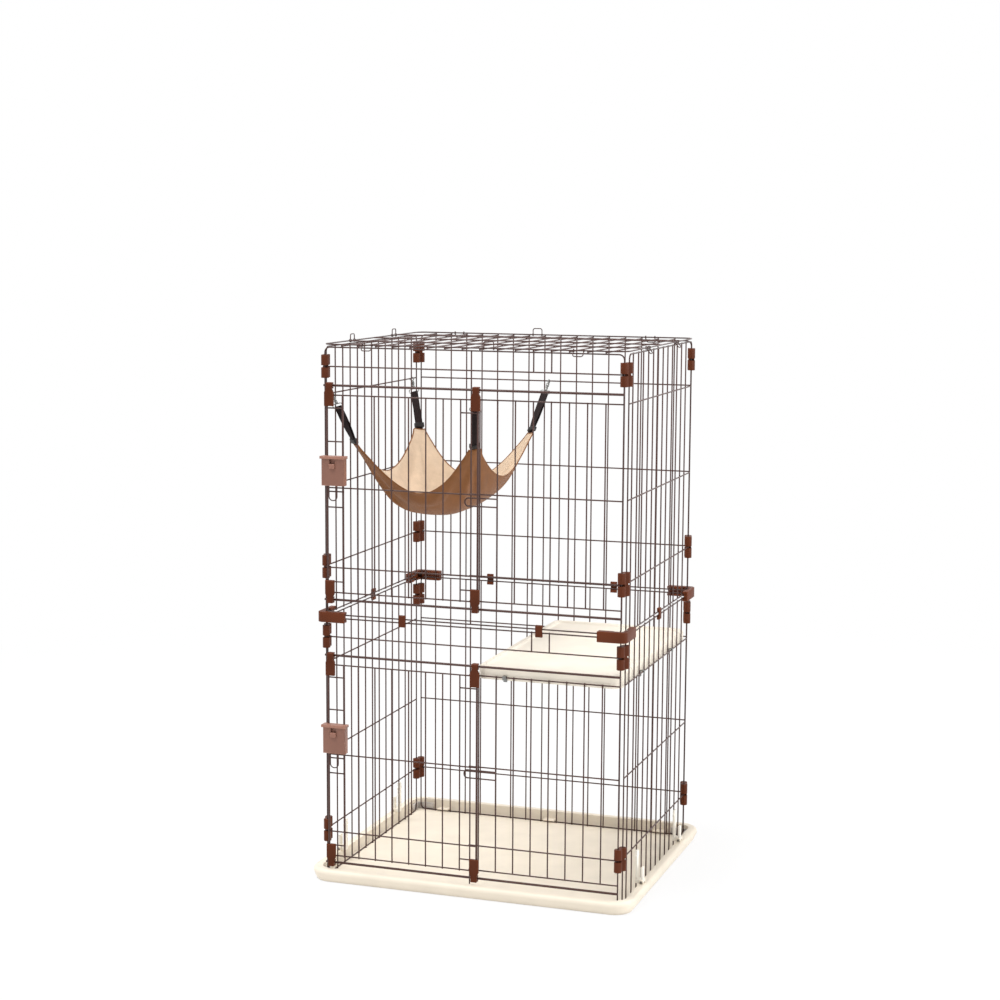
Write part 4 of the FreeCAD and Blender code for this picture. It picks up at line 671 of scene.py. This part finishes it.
for tier, lift in (("lower", 0), ("upper", TIER_STEP)):
    lock_floor = LOWER_BASE + LOCK_RISE + lift
    cover = block(COVER_SIZE, (LOCK_X, COVER_Y, lock_floor + COVER_SIZE[2] / 2 + COVER_RISE))
    shell = moulded_copy(f"{tier}_lock_case", edge=0.0010, steps=3, whole=False)
    case = joined(f"{tier}_lock_shell", [shell, cover])
    dress(case, rose_plastic, f"{tier}_door", "lock_plastic", f"{tier}_lock_case")
    plate_z = lock_floor + PLATE_RISE + PLATE_SIZE[2] / 2
    thumb_y = THUMB_FRONT + THUMB_SIZE[1] / 2
    thumb_z = lock_floor + THUMB_RISE + THUMB_SIZE[2] / 2
    slide_parts = [block(PLATE_SIZE, (LOCK_X, LOCK_PLATE_Y, plate_z)),
                   block(THUMB_SIZE, (LOCK_X, thumb_y, thumb_z))]
    slide = rounded(joined(f"{tier}_lock_tab", slide_parts), SLIDE_EDGE, steps=3)
    dress(slide, rose_plastic, f"{tier}_lock", "lock_plastic", f"{tier}_lock_slide")
    pull_top, pull_foot = lock_floor + PLATE_RISE + THUMB_SIZE[2], lock_floor - PULL_DROP
    pull = bent_wire([(LOCK_X - PULL_HALF, LOCK_PLATE_Y, pull_top),
                      (LOCK_X - PULL_HALF, LOCK_PLATE_Y, pull_foot),
                      (LOCK_X + PULL_HALF, LOCK_PLATE_Y, pull_foot),
                      (LOCK_X + PULL_HALF, LOCK_PLATE_Y, pull_top)], PULL_GAUGE, PULL_BEND)
    pull = welded(f"{tier}_lock_pull_wire", [pull])
    dress(pull, brown_coat, f"{tier}_lock", "wire", f"{tier}_lock_slide")

# Shelf: a cream moulded board with a raised rim and ribs below, hung by plated strip hooks on the
# wall wires.
SHELF_CREAM = (243, 234, 218)
shelf_plastic = moulded_finish("shelf_plastic", SHELF_CREAM, gloss=0.42, grain=900.0, depth=0.00012,
                               fade=0.04, worn=1.02)
shelf = moulded_copy("shelf", edge=0.0012, steps=3)
dress(shelf, shelf_plastic, "cage", "shelf_plastic", "shelf")
shelf_hooks = moulded_copy("shelf_hooks", edge=0.0003)
dress(shelf_hooks, plated_steel, "cage", "bright_steel", "shelf_hooks")

# Roof: a welded panel laid on the walls. Its cross wires lie below the bent border and the three
# long wires, in line with the back wall's uprights.
ROOF_HALF_X, ROOF_HALF_Y, ROOF_Z = SIDE_PLANE, BACK_PLANE, 1.1471
ROOF_BEND = 0.024
LONG_WIRES = (-0.5, 0, 0.5)
roof_x, roof_weld = -(BACK_UPRIGHTS - 1) / 2 * FRONT_PITCH, ROOF_Z - WIRE / 2
roof_bars = [bent_border(ROOF_HALF_X, ROOF_HALF_Y, (0, 0, ROOF_Z), (0, 0, 0), WIRE, ROOF_BEND)]
cross = round_bar(WIRE, 2 * ROOF_HALF_Y + WIRE,
                  (roof_x, -ROOF_HALF_Y - WIRE / 2, ROOF_Z - WIRE), "y")
roof_bars.append(in_a_row(cross, BACK_UPRIGHTS, NEXT_BAR))
for share in LONG_WIRES:
    long_start = (WIRE / 2 - ROOF_HALF_X, share * ROOF_HALF_Y, ROOF_Z)
    roof_bars.append(round_bar(WIRE, 2 * ROOF_HALF_X - WIRE, long_start, "x"))
    roof_bars.append(weld_row((roof_x, share * ROOF_HALF_Y, roof_weld), BACK_UPRIGHTS, NEXT_BAR))
for edge_y in (-ROOF_HALF_Y, ROOF_HALF_Y):
    roof_bars.append(weld_row((roof_x, edge_y, roof_weld), BACK_UPRIGHTS, NEXT_BAR))
dress(welded("roof_wires", roof_bars), brown_coat, "cage", "wire", "roof_panel")

# Roof loops: short pieces of thinner wire with an eye curled at each end round the roof's border.
# They swing over the wall's top wire to hold the roof down; some have been left standing.
LOOP_GAUGE = 0.0022
LOOP_HALF, LOOP_DROP, LOOP_BEND = 0.01065, 0.014, 0.0045
EYE_RADIUS, EYE_WIRE = 0.00285, 0.00095
HANGING, STANDING = 35, 180
LOOPS = {
    "front_left": (-6 * FRONT_PITCH, -ROOF_HALF_Y, 0, HANGING),
    "front_middle": (FRONT_PITCH, -ROOF_HALF_Y, 0, STANDING),
    "front_right": (6 * FRONT_PITCH, -ROOF_HALF_Y, 0, HANGING),
    "right_front": (ROOF_HALF_X, -3 * SIDE_PITCH, 90, HANGING),
    "right_back": (ROOF_HALF_X, 3 * SIDE_PITCH, 90, HANGING),
    "back_right": (6 * FRONT_PITCH, ROOF_HALF_Y, 180, HANGING),
    "back_middle": (-FRONT_PITCH, ROOF_HALF_Y, 180, STANDING),
    "back_left": (-6 * FRONT_PITCH, ROOF_HALF_Y, 180, HANGING),
    "left_back": (-ROOF_HALF_X, 3 * SIDE_PITCH, -90, STANDING),
    "left_front": (-ROOF_HALF_X, -3 * SIDE_PITCH, -90, STANDING),
}


def wire_ring(radius, thickness, steps, middle=(0, 0, 0)):
    """A closed ring of wire round the X axis."""
    bpy.ops.object.select_all(action="DESELECT")
    bpy.ops.mesh.primitive_torus_add(major_radius=radius, minor_radius=thickness,
                                     major_segments=steps, minor_segments=10, location=middle,
                                     rotation=TURN_TO["x"])
    return placed()


def roof_loop(name):
    """A loop hanging from the origin, its eyes round the X axis."""
    wire = bent_wire([(-LOOP_HALF, 0, -EYE_RADIUS), (-LOOP_HALF, 0, -LOOP_DROP),
                      (LOOP_HALF, 0, -LOOP_DROP), (LOOP_HALF, 0, -EYE_RADIUS)],
                     LOOP_GAUGE, LOOP_BEND)
    eyes = [wire_ring(EYE_RADIUS, EYE_WIRE, steps=24, middle=(x, 0, 0))
            for x in (-LOOP_HALF, LOOP_HALF)]
    return welded(name, [wire] + eyes)


loop_form = roof_loop("loop_pattern")
for spot, (x, y, facing, lean) in LOOPS.items():
    facing_turn = Matrix.Rotation(math.radians(facing), 4, "Z")
    turn = facing_turn @ Matrix.Rotation(math.radians(-lean), 4, "X")
    loop = copied(loop_form, f"loop_{spot}", Matrix.Translation((x, y, ROOF_Z)) @ turn)
    dress(loop, brown_coat, f"roof_loop_{spot}", "wire", f"roof_loop_{spot}")
bpy.data.objects.remove(loop_form)

# Hammock cloth: two layers of brushed cloth sewn together, brown below and cream above, cut with
# hollow edges and hung by its four corners, so that it sags into a bowl with soft folds.
CLOTH_BROWN, CLOTH_CREAM = (140, 90, 49), (222, 196, 168)
CLOTH_LEFT, CLOTH_RIGHT, CLOTH_HALF_DEPTH = -0.292, -0.024, 0.187
CLOTH_TOP = 0.9301
CLOTH_FRONT_SAG, CLOTH_SIDE_SAG, CLOTH_DEPTH = 0.100, 0.075, 0.148
CLOTH_FRONT_DRAW, CLOTH_SIDE_SPREAD = 0.020, 0.012
CLOTH_THICKNESS, CLOTH_CELLS, CLOTH_FLAT = 0.0024, 60, (0.38, 0.43)
CORNER_CUT, CORNER_DRAW, CORNER_HOLD = 0.055, 0.074, 1.86
EDGE_BLEND = 3
CREASE_DEPTH, CREASE_COUNT, CREASE_START, CREASE_SLANT = 0.0045, 5, 0.35, 1.3
GATHER_DEPTH, GATHER_COUNT, GATHER_REACH = 0.0035, 11, 0.45
POCKET_SAG, POCKET_MIDDLE, POCKET_SPREAD = 0.018, (-0.62, -0.66), 0.30
HEM_GAUGE = 0.0028
HANG_FRAMES = 30
HANG_SETTINGS = {"quality": 8, "mass": 0.25, "tension_stiffness": 90, "compression_stiffness": 30,
                 "shear_stiffness": 2, "bending_stiffness": 0.3, "air_damping": 4}


def sagging_point(across, along):
    """A point of the slack cloth, given two shares from -1 to 1 of its width and depth."""
    drawn = 1 + CORNER_DRAW * across ** 2 * along ** 2
    across, along = across * drawn, along * drawn
    bow = 1 - across ** 2
    dip = 1 - abs(along) ** (2 + min(1, max(0, EDGE_BLEND * bow)))
    half_width = (CLOTH_RIGHT - CLOTH_LEFT) / 2 + dip * CLOTH_SIDE_SPREAD
    half_depth = CLOTH_HALF_DEPTH - bow * CLOTH_FRONT_DRAW
    sag = CLOTH_FRONT_SAG * bow + CLOTH_SIDE_SAG * dip
    sag += (CLOTH_DEPTH - CLOTH_FRONT_SAG - CLOTH_SIDE_SAG) * bow * dip
    near_edge = max(0, abs(along) - CREASE_START) / (1 - CREASE_START)
    crease = math.sin(math.tau * CREASE_COUNT * abs(along) + CREASE_SLANT * across)
    sag += CREASE_DEPTH * bow ** 2 * near_edge * crease
    from_corner = math.hypot(1 - abs(across), 1 - abs(along))
    fan = math.atan2(1 - abs(along), 1 - abs(across))
    gather = GATHER_DEPTH * from_corner / GATHER_REACH * math.exp(1 - from_corner / GATHER_REACH)
    sag += gather * math.sin(GATHER_COUNT * fan)
    from_pocket = math.dist((across, along), POCKET_MIDDLE) / POCKET_SPREAD
    inside = min(1, bow * EDGE_BLEND) * min(1, dip * EDGE_BLEND)
    sag += POCKET_SAG * math.exp(-from_pocket ** 2) * inside
    middle = (CLOTH_LEFT + CLOTH_RIGHT) / 2
    return Vector((middle + across * half_width, along * half_depth, CLOTH_TOP - sag))


def cloth_finish(name, colour, nap):
    """Brushed plain weave on the cloth's own threads, with a soft nap that pales at a slant."""
    made, tree, skin = new_finish(name)
    coords = tree.nodes.new("ShaderNodeTexCoord").outputs
    threads = []
    for direction in ("X", "Y"):
        thread = node(tree, "ShaderNodeTexWave", Vector=coords["UV"], Scale=70.0, Distortion=0.6,
                      Detail=1.0)
        thread.bands_direction = direction
        threads.append(thread.outputs["Fac"])
    weave = maths(tree, "MAXIMUM", *threads)
    patch = node(tree, "ShaderNodeTexNoise", Vector=coords["Object"], Scale=28.0, Detail=6.0,
                 Roughness=0.65)
    body = ramp(tree, patch.outputs[0], 0.3, 0.7, paint(*colour, scale=0.90), paint(*colour))
    shade = ramp(tree, weave, 0.1, 0.9, (0.82, 0.82, 0.82, 1), WHITE)
    bump = node(tree, "ShaderNodeBump", Height=weave, Strength=0.5, Distance=0.0004)
    set_sockets(tree, skin, Base_Color=mixed(tree, 1.0, body, shade, "MULTIPLY"), Roughness=0.9,
                Sheen_Weight=nap, Sheen_Roughness=0.5, Specular_IOR_Level=0.2,
                Normal=bump.outputs[0])
    return made


bpy.ops.object.select_all(action="DESELECT")
bpy.ops.mesh.primitive_grid_add(x_subdivisions=CLOTH_CELLS, y_subdivisions=CLOTH_CELLS, size=2,
                                calc_uvs=True)
cloth = bpy.context.object
cloth.name = "hammock_sheet"
bpy.ops.object.mode_set(mode="EDIT")
for side_x, side_y in CORNERS:
    bpy.ops.mesh.select_all(action="SELECT")
    bpy.ops.mesh.bisect(plane_co=(side_x * (1 - CORNER_CUT), side_y * (1 - CORNER_CUT), 0),
                        plane_no=(side_x, side_y, 0), clear_outer=True)
bpy.ops.object.mode_set(mode="OBJECT")
held = cloth.vertex_groups.new(name="sewn_corners")
for vertex in cloth.data.vertices:
    across, along = vertex.co.x, vertex.co.y
    if abs(across) + abs(along) > CORNER_HOLD:
        held.add([vertex.index], 1.0, "REPLACE")
    vertex.co = sagging_point(across, along)
cloth.data.update()
alone(cloth)
hang = cloth.modifiers.new("hang", "CLOTH")
for setting, value in HANG_SETTINGS.items():
    setattr(hang.settings, setting, value)
hang.settings.vertex_group_mass = held.name
for step in range(1, HANG_FRAMES + 1):
    bpy.context.scene.frame_set(step)
bpy.ops.object.modifier_apply(modifier=hang.name)
bpy.context.scene.frame_set(1)

brown_cloth = cloth_finish("brown_cloth", CLOTH_BROWN, nap=0.15)
cream_cloth = cloth_finish("cream_cloth", CLOTH_CREAM, nap=0.2)
hem = copied(cloth, "hammock_hem_line", Matrix())
alone(hem)
bpy.ops.object.mode_set(mode="EDIT")
bpy.ops.mesh.select_mode(type="EDGE")
bpy.ops.mesh.select_all(action="SELECT")
bpy.ops.mesh.region_to_loop()
bpy.ops.mesh.select_all(action="INVERT")
bpy.ops.mesh.delete(type="EDGE")
bpy.ops.mesh.select_mode(type="VERT")
bpy.ops.object.mode_set(mode="OBJECT")
hem = skinned(hem, HEM_GAUGE)
hem.name = "hammock_hem"
bpy.ops.object.shade_smooth()
hem.data.transform(Matrix.Translation((0, 0, -CLOTH_THICKNESS / 2)))
dress(hem, brown_cloth, "cage", "hammock_fabric", "hammock_cloth")

alone(cloth)
cloth.data.materials.append(cream_cloth)
cloth.data.materials.append(brown_cloth)
thick = cloth.modifiers.new("two_layers", "SOLIDIFY")
thick.thickness = CLOTH_THICKNESS
thick.offset = -1
thick.material_offset = 1
thick.material_offset_rim = 1
bpy.ops.object.modifier_apply(modifier=thick.name)
soft = cloth.modifiers.new("softness", "SUBSURF")
soft.levels = 1
soft.render_levels = 1
bpy.ops.object.modifier_apply(modifier=soft.name)
bpy.ops.object.shade_smooth()
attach(cloth, "cage")
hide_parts("hammock_cloth")

# Snap hooks: plated swivel snaps that bite on the wall wires. Each is a closed hook with a spring
# gate, a turned swivel and a bent wire eye for the strap.
SILVER = (138, 138, 136)
HANG_Z, LEFT_HOLD_Y, RIGHT_HOLD_X = 1.0421, 0.23035, 0.0095
HANGS = {
    "front_left": ((-SIDE_PLANE, -LEFT_HOLD_Y, HANG_Z), (0, 1, 0),
                   (CLOTH_LEFT, -CLOTH_HALF_DEPTH, CLOTH_TOP)),
    "back_left": ((-SIDE_PLANE, LEFT_HOLD_Y, HANG_Z), (0, 1, 0),
                  (CLOTH_LEFT, CLOTH_HALF_DEPTH, CLOTH_TOP)),
    "front_right": ((RIGHT_HOLD_X, FRONT_PLANE, HANG_Z), (1, 0, 0),
                    (CLOTH_RIGHT, -CLOTH_HALF_DEPTH, CLOTH_TOP)),
    "back_right": ((-RIGHT_HOLD_X, BACK_PLANE, HANG_Z), (1, 0, 0),
                   (CLOTH_RIGHT, CLOTH_HALF_DEPTH, CLOTH_TOP)),
}
SNAP_RING, SNAP_WIRE, SNAP_SLACK = 0.0042, 0.0010, 0.00128
GATE_GAUGE, GATE_LENGTH = 0.0014, 0.0066
SWIVEL = ((0.0042, 0.0026, 0.0022), (0.0068, 0.0072, 0.0036),
          (0.0140, 0.0032, 0.0024), (0.0172, 0.0080, 0.0033))
SWIVEL_SIDES = 20
EYE_HALF_WIDTH, EYE_TOP, EYE_DEPTH, EYE_BEND = 0.0115, 0.0250, 0.0090, 0.0030
FACING = Vector((1, 0, 0))
silver = bright_finish("silver", SILVER, gloss=0.24)


def snap_ring(name):
    """The hook of a snap, closed by its spring gate, round the X axis at the origin."""
    hook = wire_ring(SNAP_RING, SNAP_WIRE, steps=28)
    gate = round_bar(GATE_GAUGE, GATE_LENGTH, (0, SNAP_RING, -GATE_LENGTH / 2), "z")
    bpy.ops.mesh.primitive_uv_sphere_add(segments=12, ring_count=8, radius=GATE_GAUGE,
                                         location=(0, SNAP_RING + GATE_GAUGE, 0))
    return welded(name, [hook, gate, placed()])


def snap_swivel(name):
    """The turned swivel below a snap's hook, with a bent wire eye that faces along Y."""
    parts = []
    for start, length, radius in SWIVEL:
        parts.append(round_bar(2 * radius, length, (0, 0, -start - length), "z", SWIVEL_SIDES))
    eye_middle = (0, 0, -EYE_TOP - EYE_DEPTH / 2)
    parts.append(bent_border(EYE_HALF_WIDTH, EYE_DEPTH / 2, eye_middle, TURN_TO["y"],
                             2 * SNAP_WIRE, EYE_BEND))
    return welded(name, parts)


def turned(across, pull):
    """The turn of something that hangs along a pull, its X axis drawn square to it."""
    level = (across - pull * across.dot(pull)).normalized()
    return Matrix((level, level.cross(pull), -pull)).transposed().to_4x4()


ring_form, swivel_form = snap_ring("snap_ring_pattern"), snap_swivel("snap_swivel_pattern")
rings = {}
for spot, (hold, wire, corner) in HANGS.items():
    hold, wire, corner = Vector(hold), Vector(wire), Vector(corner)
    pull = (corner - hold).normalized()
    ring = hold + (pull - wire * pull.dot(wire)).normalized() * SNAP_SLACK
    rings[spot] = (ring, pull)
    move = Matrix.Translation(ring)
    bite = copied(ring_form, f"snap_ring_{spot}", move @ turned(wire, pull))
    swivel = copied(swivel_form, f"snap_swivel_{spot}", move @ turned(FACING, pull))
    for part in (bite, swivel):
        dress(part, silver, "cage", "bright_steel", "snap_hooks")
bpy.data.objects.remove(ring_form)
bpy.data.objects.remove(swivel_form)

# Hammock straps: black woven webbing doubled over the eye of each snap hook, held by a moulded
# slider and sewn to the corner of the cloth. Each strap twists to lie flat on its corner.
BLACK_WEB, BLACK_PLASTIC = (31, 18, 18), (20, 16, 16)
STRAP_WIDTH, STRAP_LAYER, LAYER_SPREAD = 0.016, 0.0013, 0.62
STRAP_COLUMNS, STRAP_ROWS, STRAP_STEPS, FOLD_STEPS = 4, 40, 10, 8
STRAP_START, STRAP_SLACK = EYE_TOP + EYE_DEPTH, 0.0002
STRAP_TUCK, STRAP_BOW = 0.012, 0.0020
FOLD_RADIUS, FOLD_RISE = 0.0019, 0.0012
SLIDER_SIZE, SLIDER_PLACE, SLIDER_EDGE = (0.0220, 0.0090, 0.0110), 0.90, 0.0014


def webbing_finish(name, colour):
    """Woven webbing: ribs across its length and a dusty nap."""
    made, tree, skin = new_finish(name)
    coords = tree.nodes.new("ShaderNodeTexCoord").outputs
    ribs = node(tree, "ShaderNodeTexWave", Vector=coords["UV"], Scale=26.0, Distortion=0.4,
                Detail=1.0)
    ribs.bands_direction = "Y"
    dust = node(tree, "ShaderNodeTexNoise", Vector=coords["Object"], Scale=180.0, Detail=5.0)
    dark, light = paint(*colour, scale=0.8), paint(*colour, scale=1.35)
    body = ramp(tree, dust.outputs[0], 0.3, 0.75, dark, light)
    shade = ramp(tree, ribs.outputs["Fac"], 0.1, 0.9, (0.55, 0.55, 0.55, 1), WHITE)
    bump = node(tree, "ShaderNodeBump", Height=ribs.outputs["Fac"], Strength=0.6, Distance=0.0004)
    set_sockets(tree, skin, Base_Color=mixed(tree, 1.0, body, shade, "MULTIPLY"), Roughness=0.78,
                Specular_IOR_Level=0.25, Normal=bump.outputs[0])
    return made


def strap_line(length):
    """The strap's line seen from its edge: up from the cloth, over the eye, down to the slider."""
    gap, over = STRAP_LAYER * LAYER_SPREAD, STRAP_START + STRAP_SLACK
    front = [(gap, -over - length - STRAP_TUCK)]
    back = []
    for step in range(STRAP_STEPS - 1, 0, -1):
        down = step / STRAP_STEPS
        off = gap + STRAP_BOW * math.sin(math.pi * down)
        front.append((off, -over - length * down))
        back.insert(0, (-off, -over - length * down))
    fold = []
    for step in range(FOLD_STEPS + 1):
        turn = math.pi * step / FOLD_STEPS
        fold.append((FOLD_RADIUS * math.cos(turn),
                     -over + FOLD_RISE + FOLD_RADIUS * math.sin(turn)))
    return front + fold + back


def along_line(line, share):
    """A point at a share of a line's length."""
    runs = [math.dist(a, b) for a, b in zip(line, line[1:])]
    left = share * sum(runs)
    for start, end, run in zip(line, line[1:], runs):
        if left <= run:
            return tuple(a + (b - a) * left / run for a, b in zip(start, end))
        left -= run
    return line[-1]


def webbing_strap(name, length, twist):
    """A strap that hangs from its snap hook's origin and turns by an angle to its lower end."""
    bpy.ops.object.select_all(action="DESELECT")
    bpy.ops.mesh.primitive_grid_add(x_subdivisions=STRAP_COLUMNS, y_subdivisions=STRAP_ROWS,
                                    size=1, calc_uvs=True)
    strap = bpy.context.object
    strap.name = name
    line = strap_line(length)
    for vertex in strap.data.vertices:
        off, down = along_line(line, vertex.co.y + 0.5)
        share = min(max((-down - STRAP_START) / length, 0), 1)
        turn = Matrix.Rotation(twist * share * share * (3 - 2 * share), 3, "Z")
        vertex.co = turn @ Vector((vertex.co.x * STRAP_WIDTH, off, down))
    strap.data.update()
    alone(strap)
    layer = strap.modifiers.new("webbing_thickness", "SOLIDIFY")
    layer.thickness = STRAP_LAYER
    layer.offset = 0
    bpy.ops.object.modifier_apply(modifier=layer.name)
    bpy.ops.object.shade_smooth_by_angle(angle=SMOOTH_ANGLE)
    return strap


black_webbing = webbing_finish("black_webbing", BLACK_WEB)
black_plastic = moulded_finish("black_plastic", BLACK_PLASTIC, gloss=0.42, grain=1200.0,
                               depth=0.0001, worn=1.3)
for spot, (ring, pull) in rings.items():
    corner = HANGS[spot][2]
    length = (Vector(corner) - ring).length - STRAP_START
    side_x = 1 if corner[0] == CLOTH_RIGHT else -1
    side_y = 1 if corner[1] > 0 else -1
    cut_share = 1 - 2 * CORNER_CUT
    cut_end, cut_start = (side_x * cut_share, side_y), (side_x, side_y * cut_share)
    cut_edge = sagging_point(*cut_end) - sagging_point(*cut_start)
    turn = turned(FACING, pull)
    sewn = turn.to_3x3().transposed() @ cut_edge
    twist = math.atan(sewn.y / sewn.x)
    hang = Matrix.Translation(ring) @ turn
    strap = webbing_strap(f"strap_{spot}", length, twist)
    strap.data.transform(hang)
    dress(strap, black_webbing, "cage", "webbing", "hammock_straps")
    slider_middle = (0, 0, -STRAP_START - length * SLIDER_PLACE)
    slider = rounded(block(SLIDER_SIZE, slider_middle), SLIDER_EDGE, steps=3)
    slider.name = f"strap_slider_{spot}"
    slider.data.transform(hang @ Matrix.Rotation(twist * SLIDER_PLACE, 4, "Z"))
    dress(slider, black_plastic, "cage", "webbing", "hammock_straps")
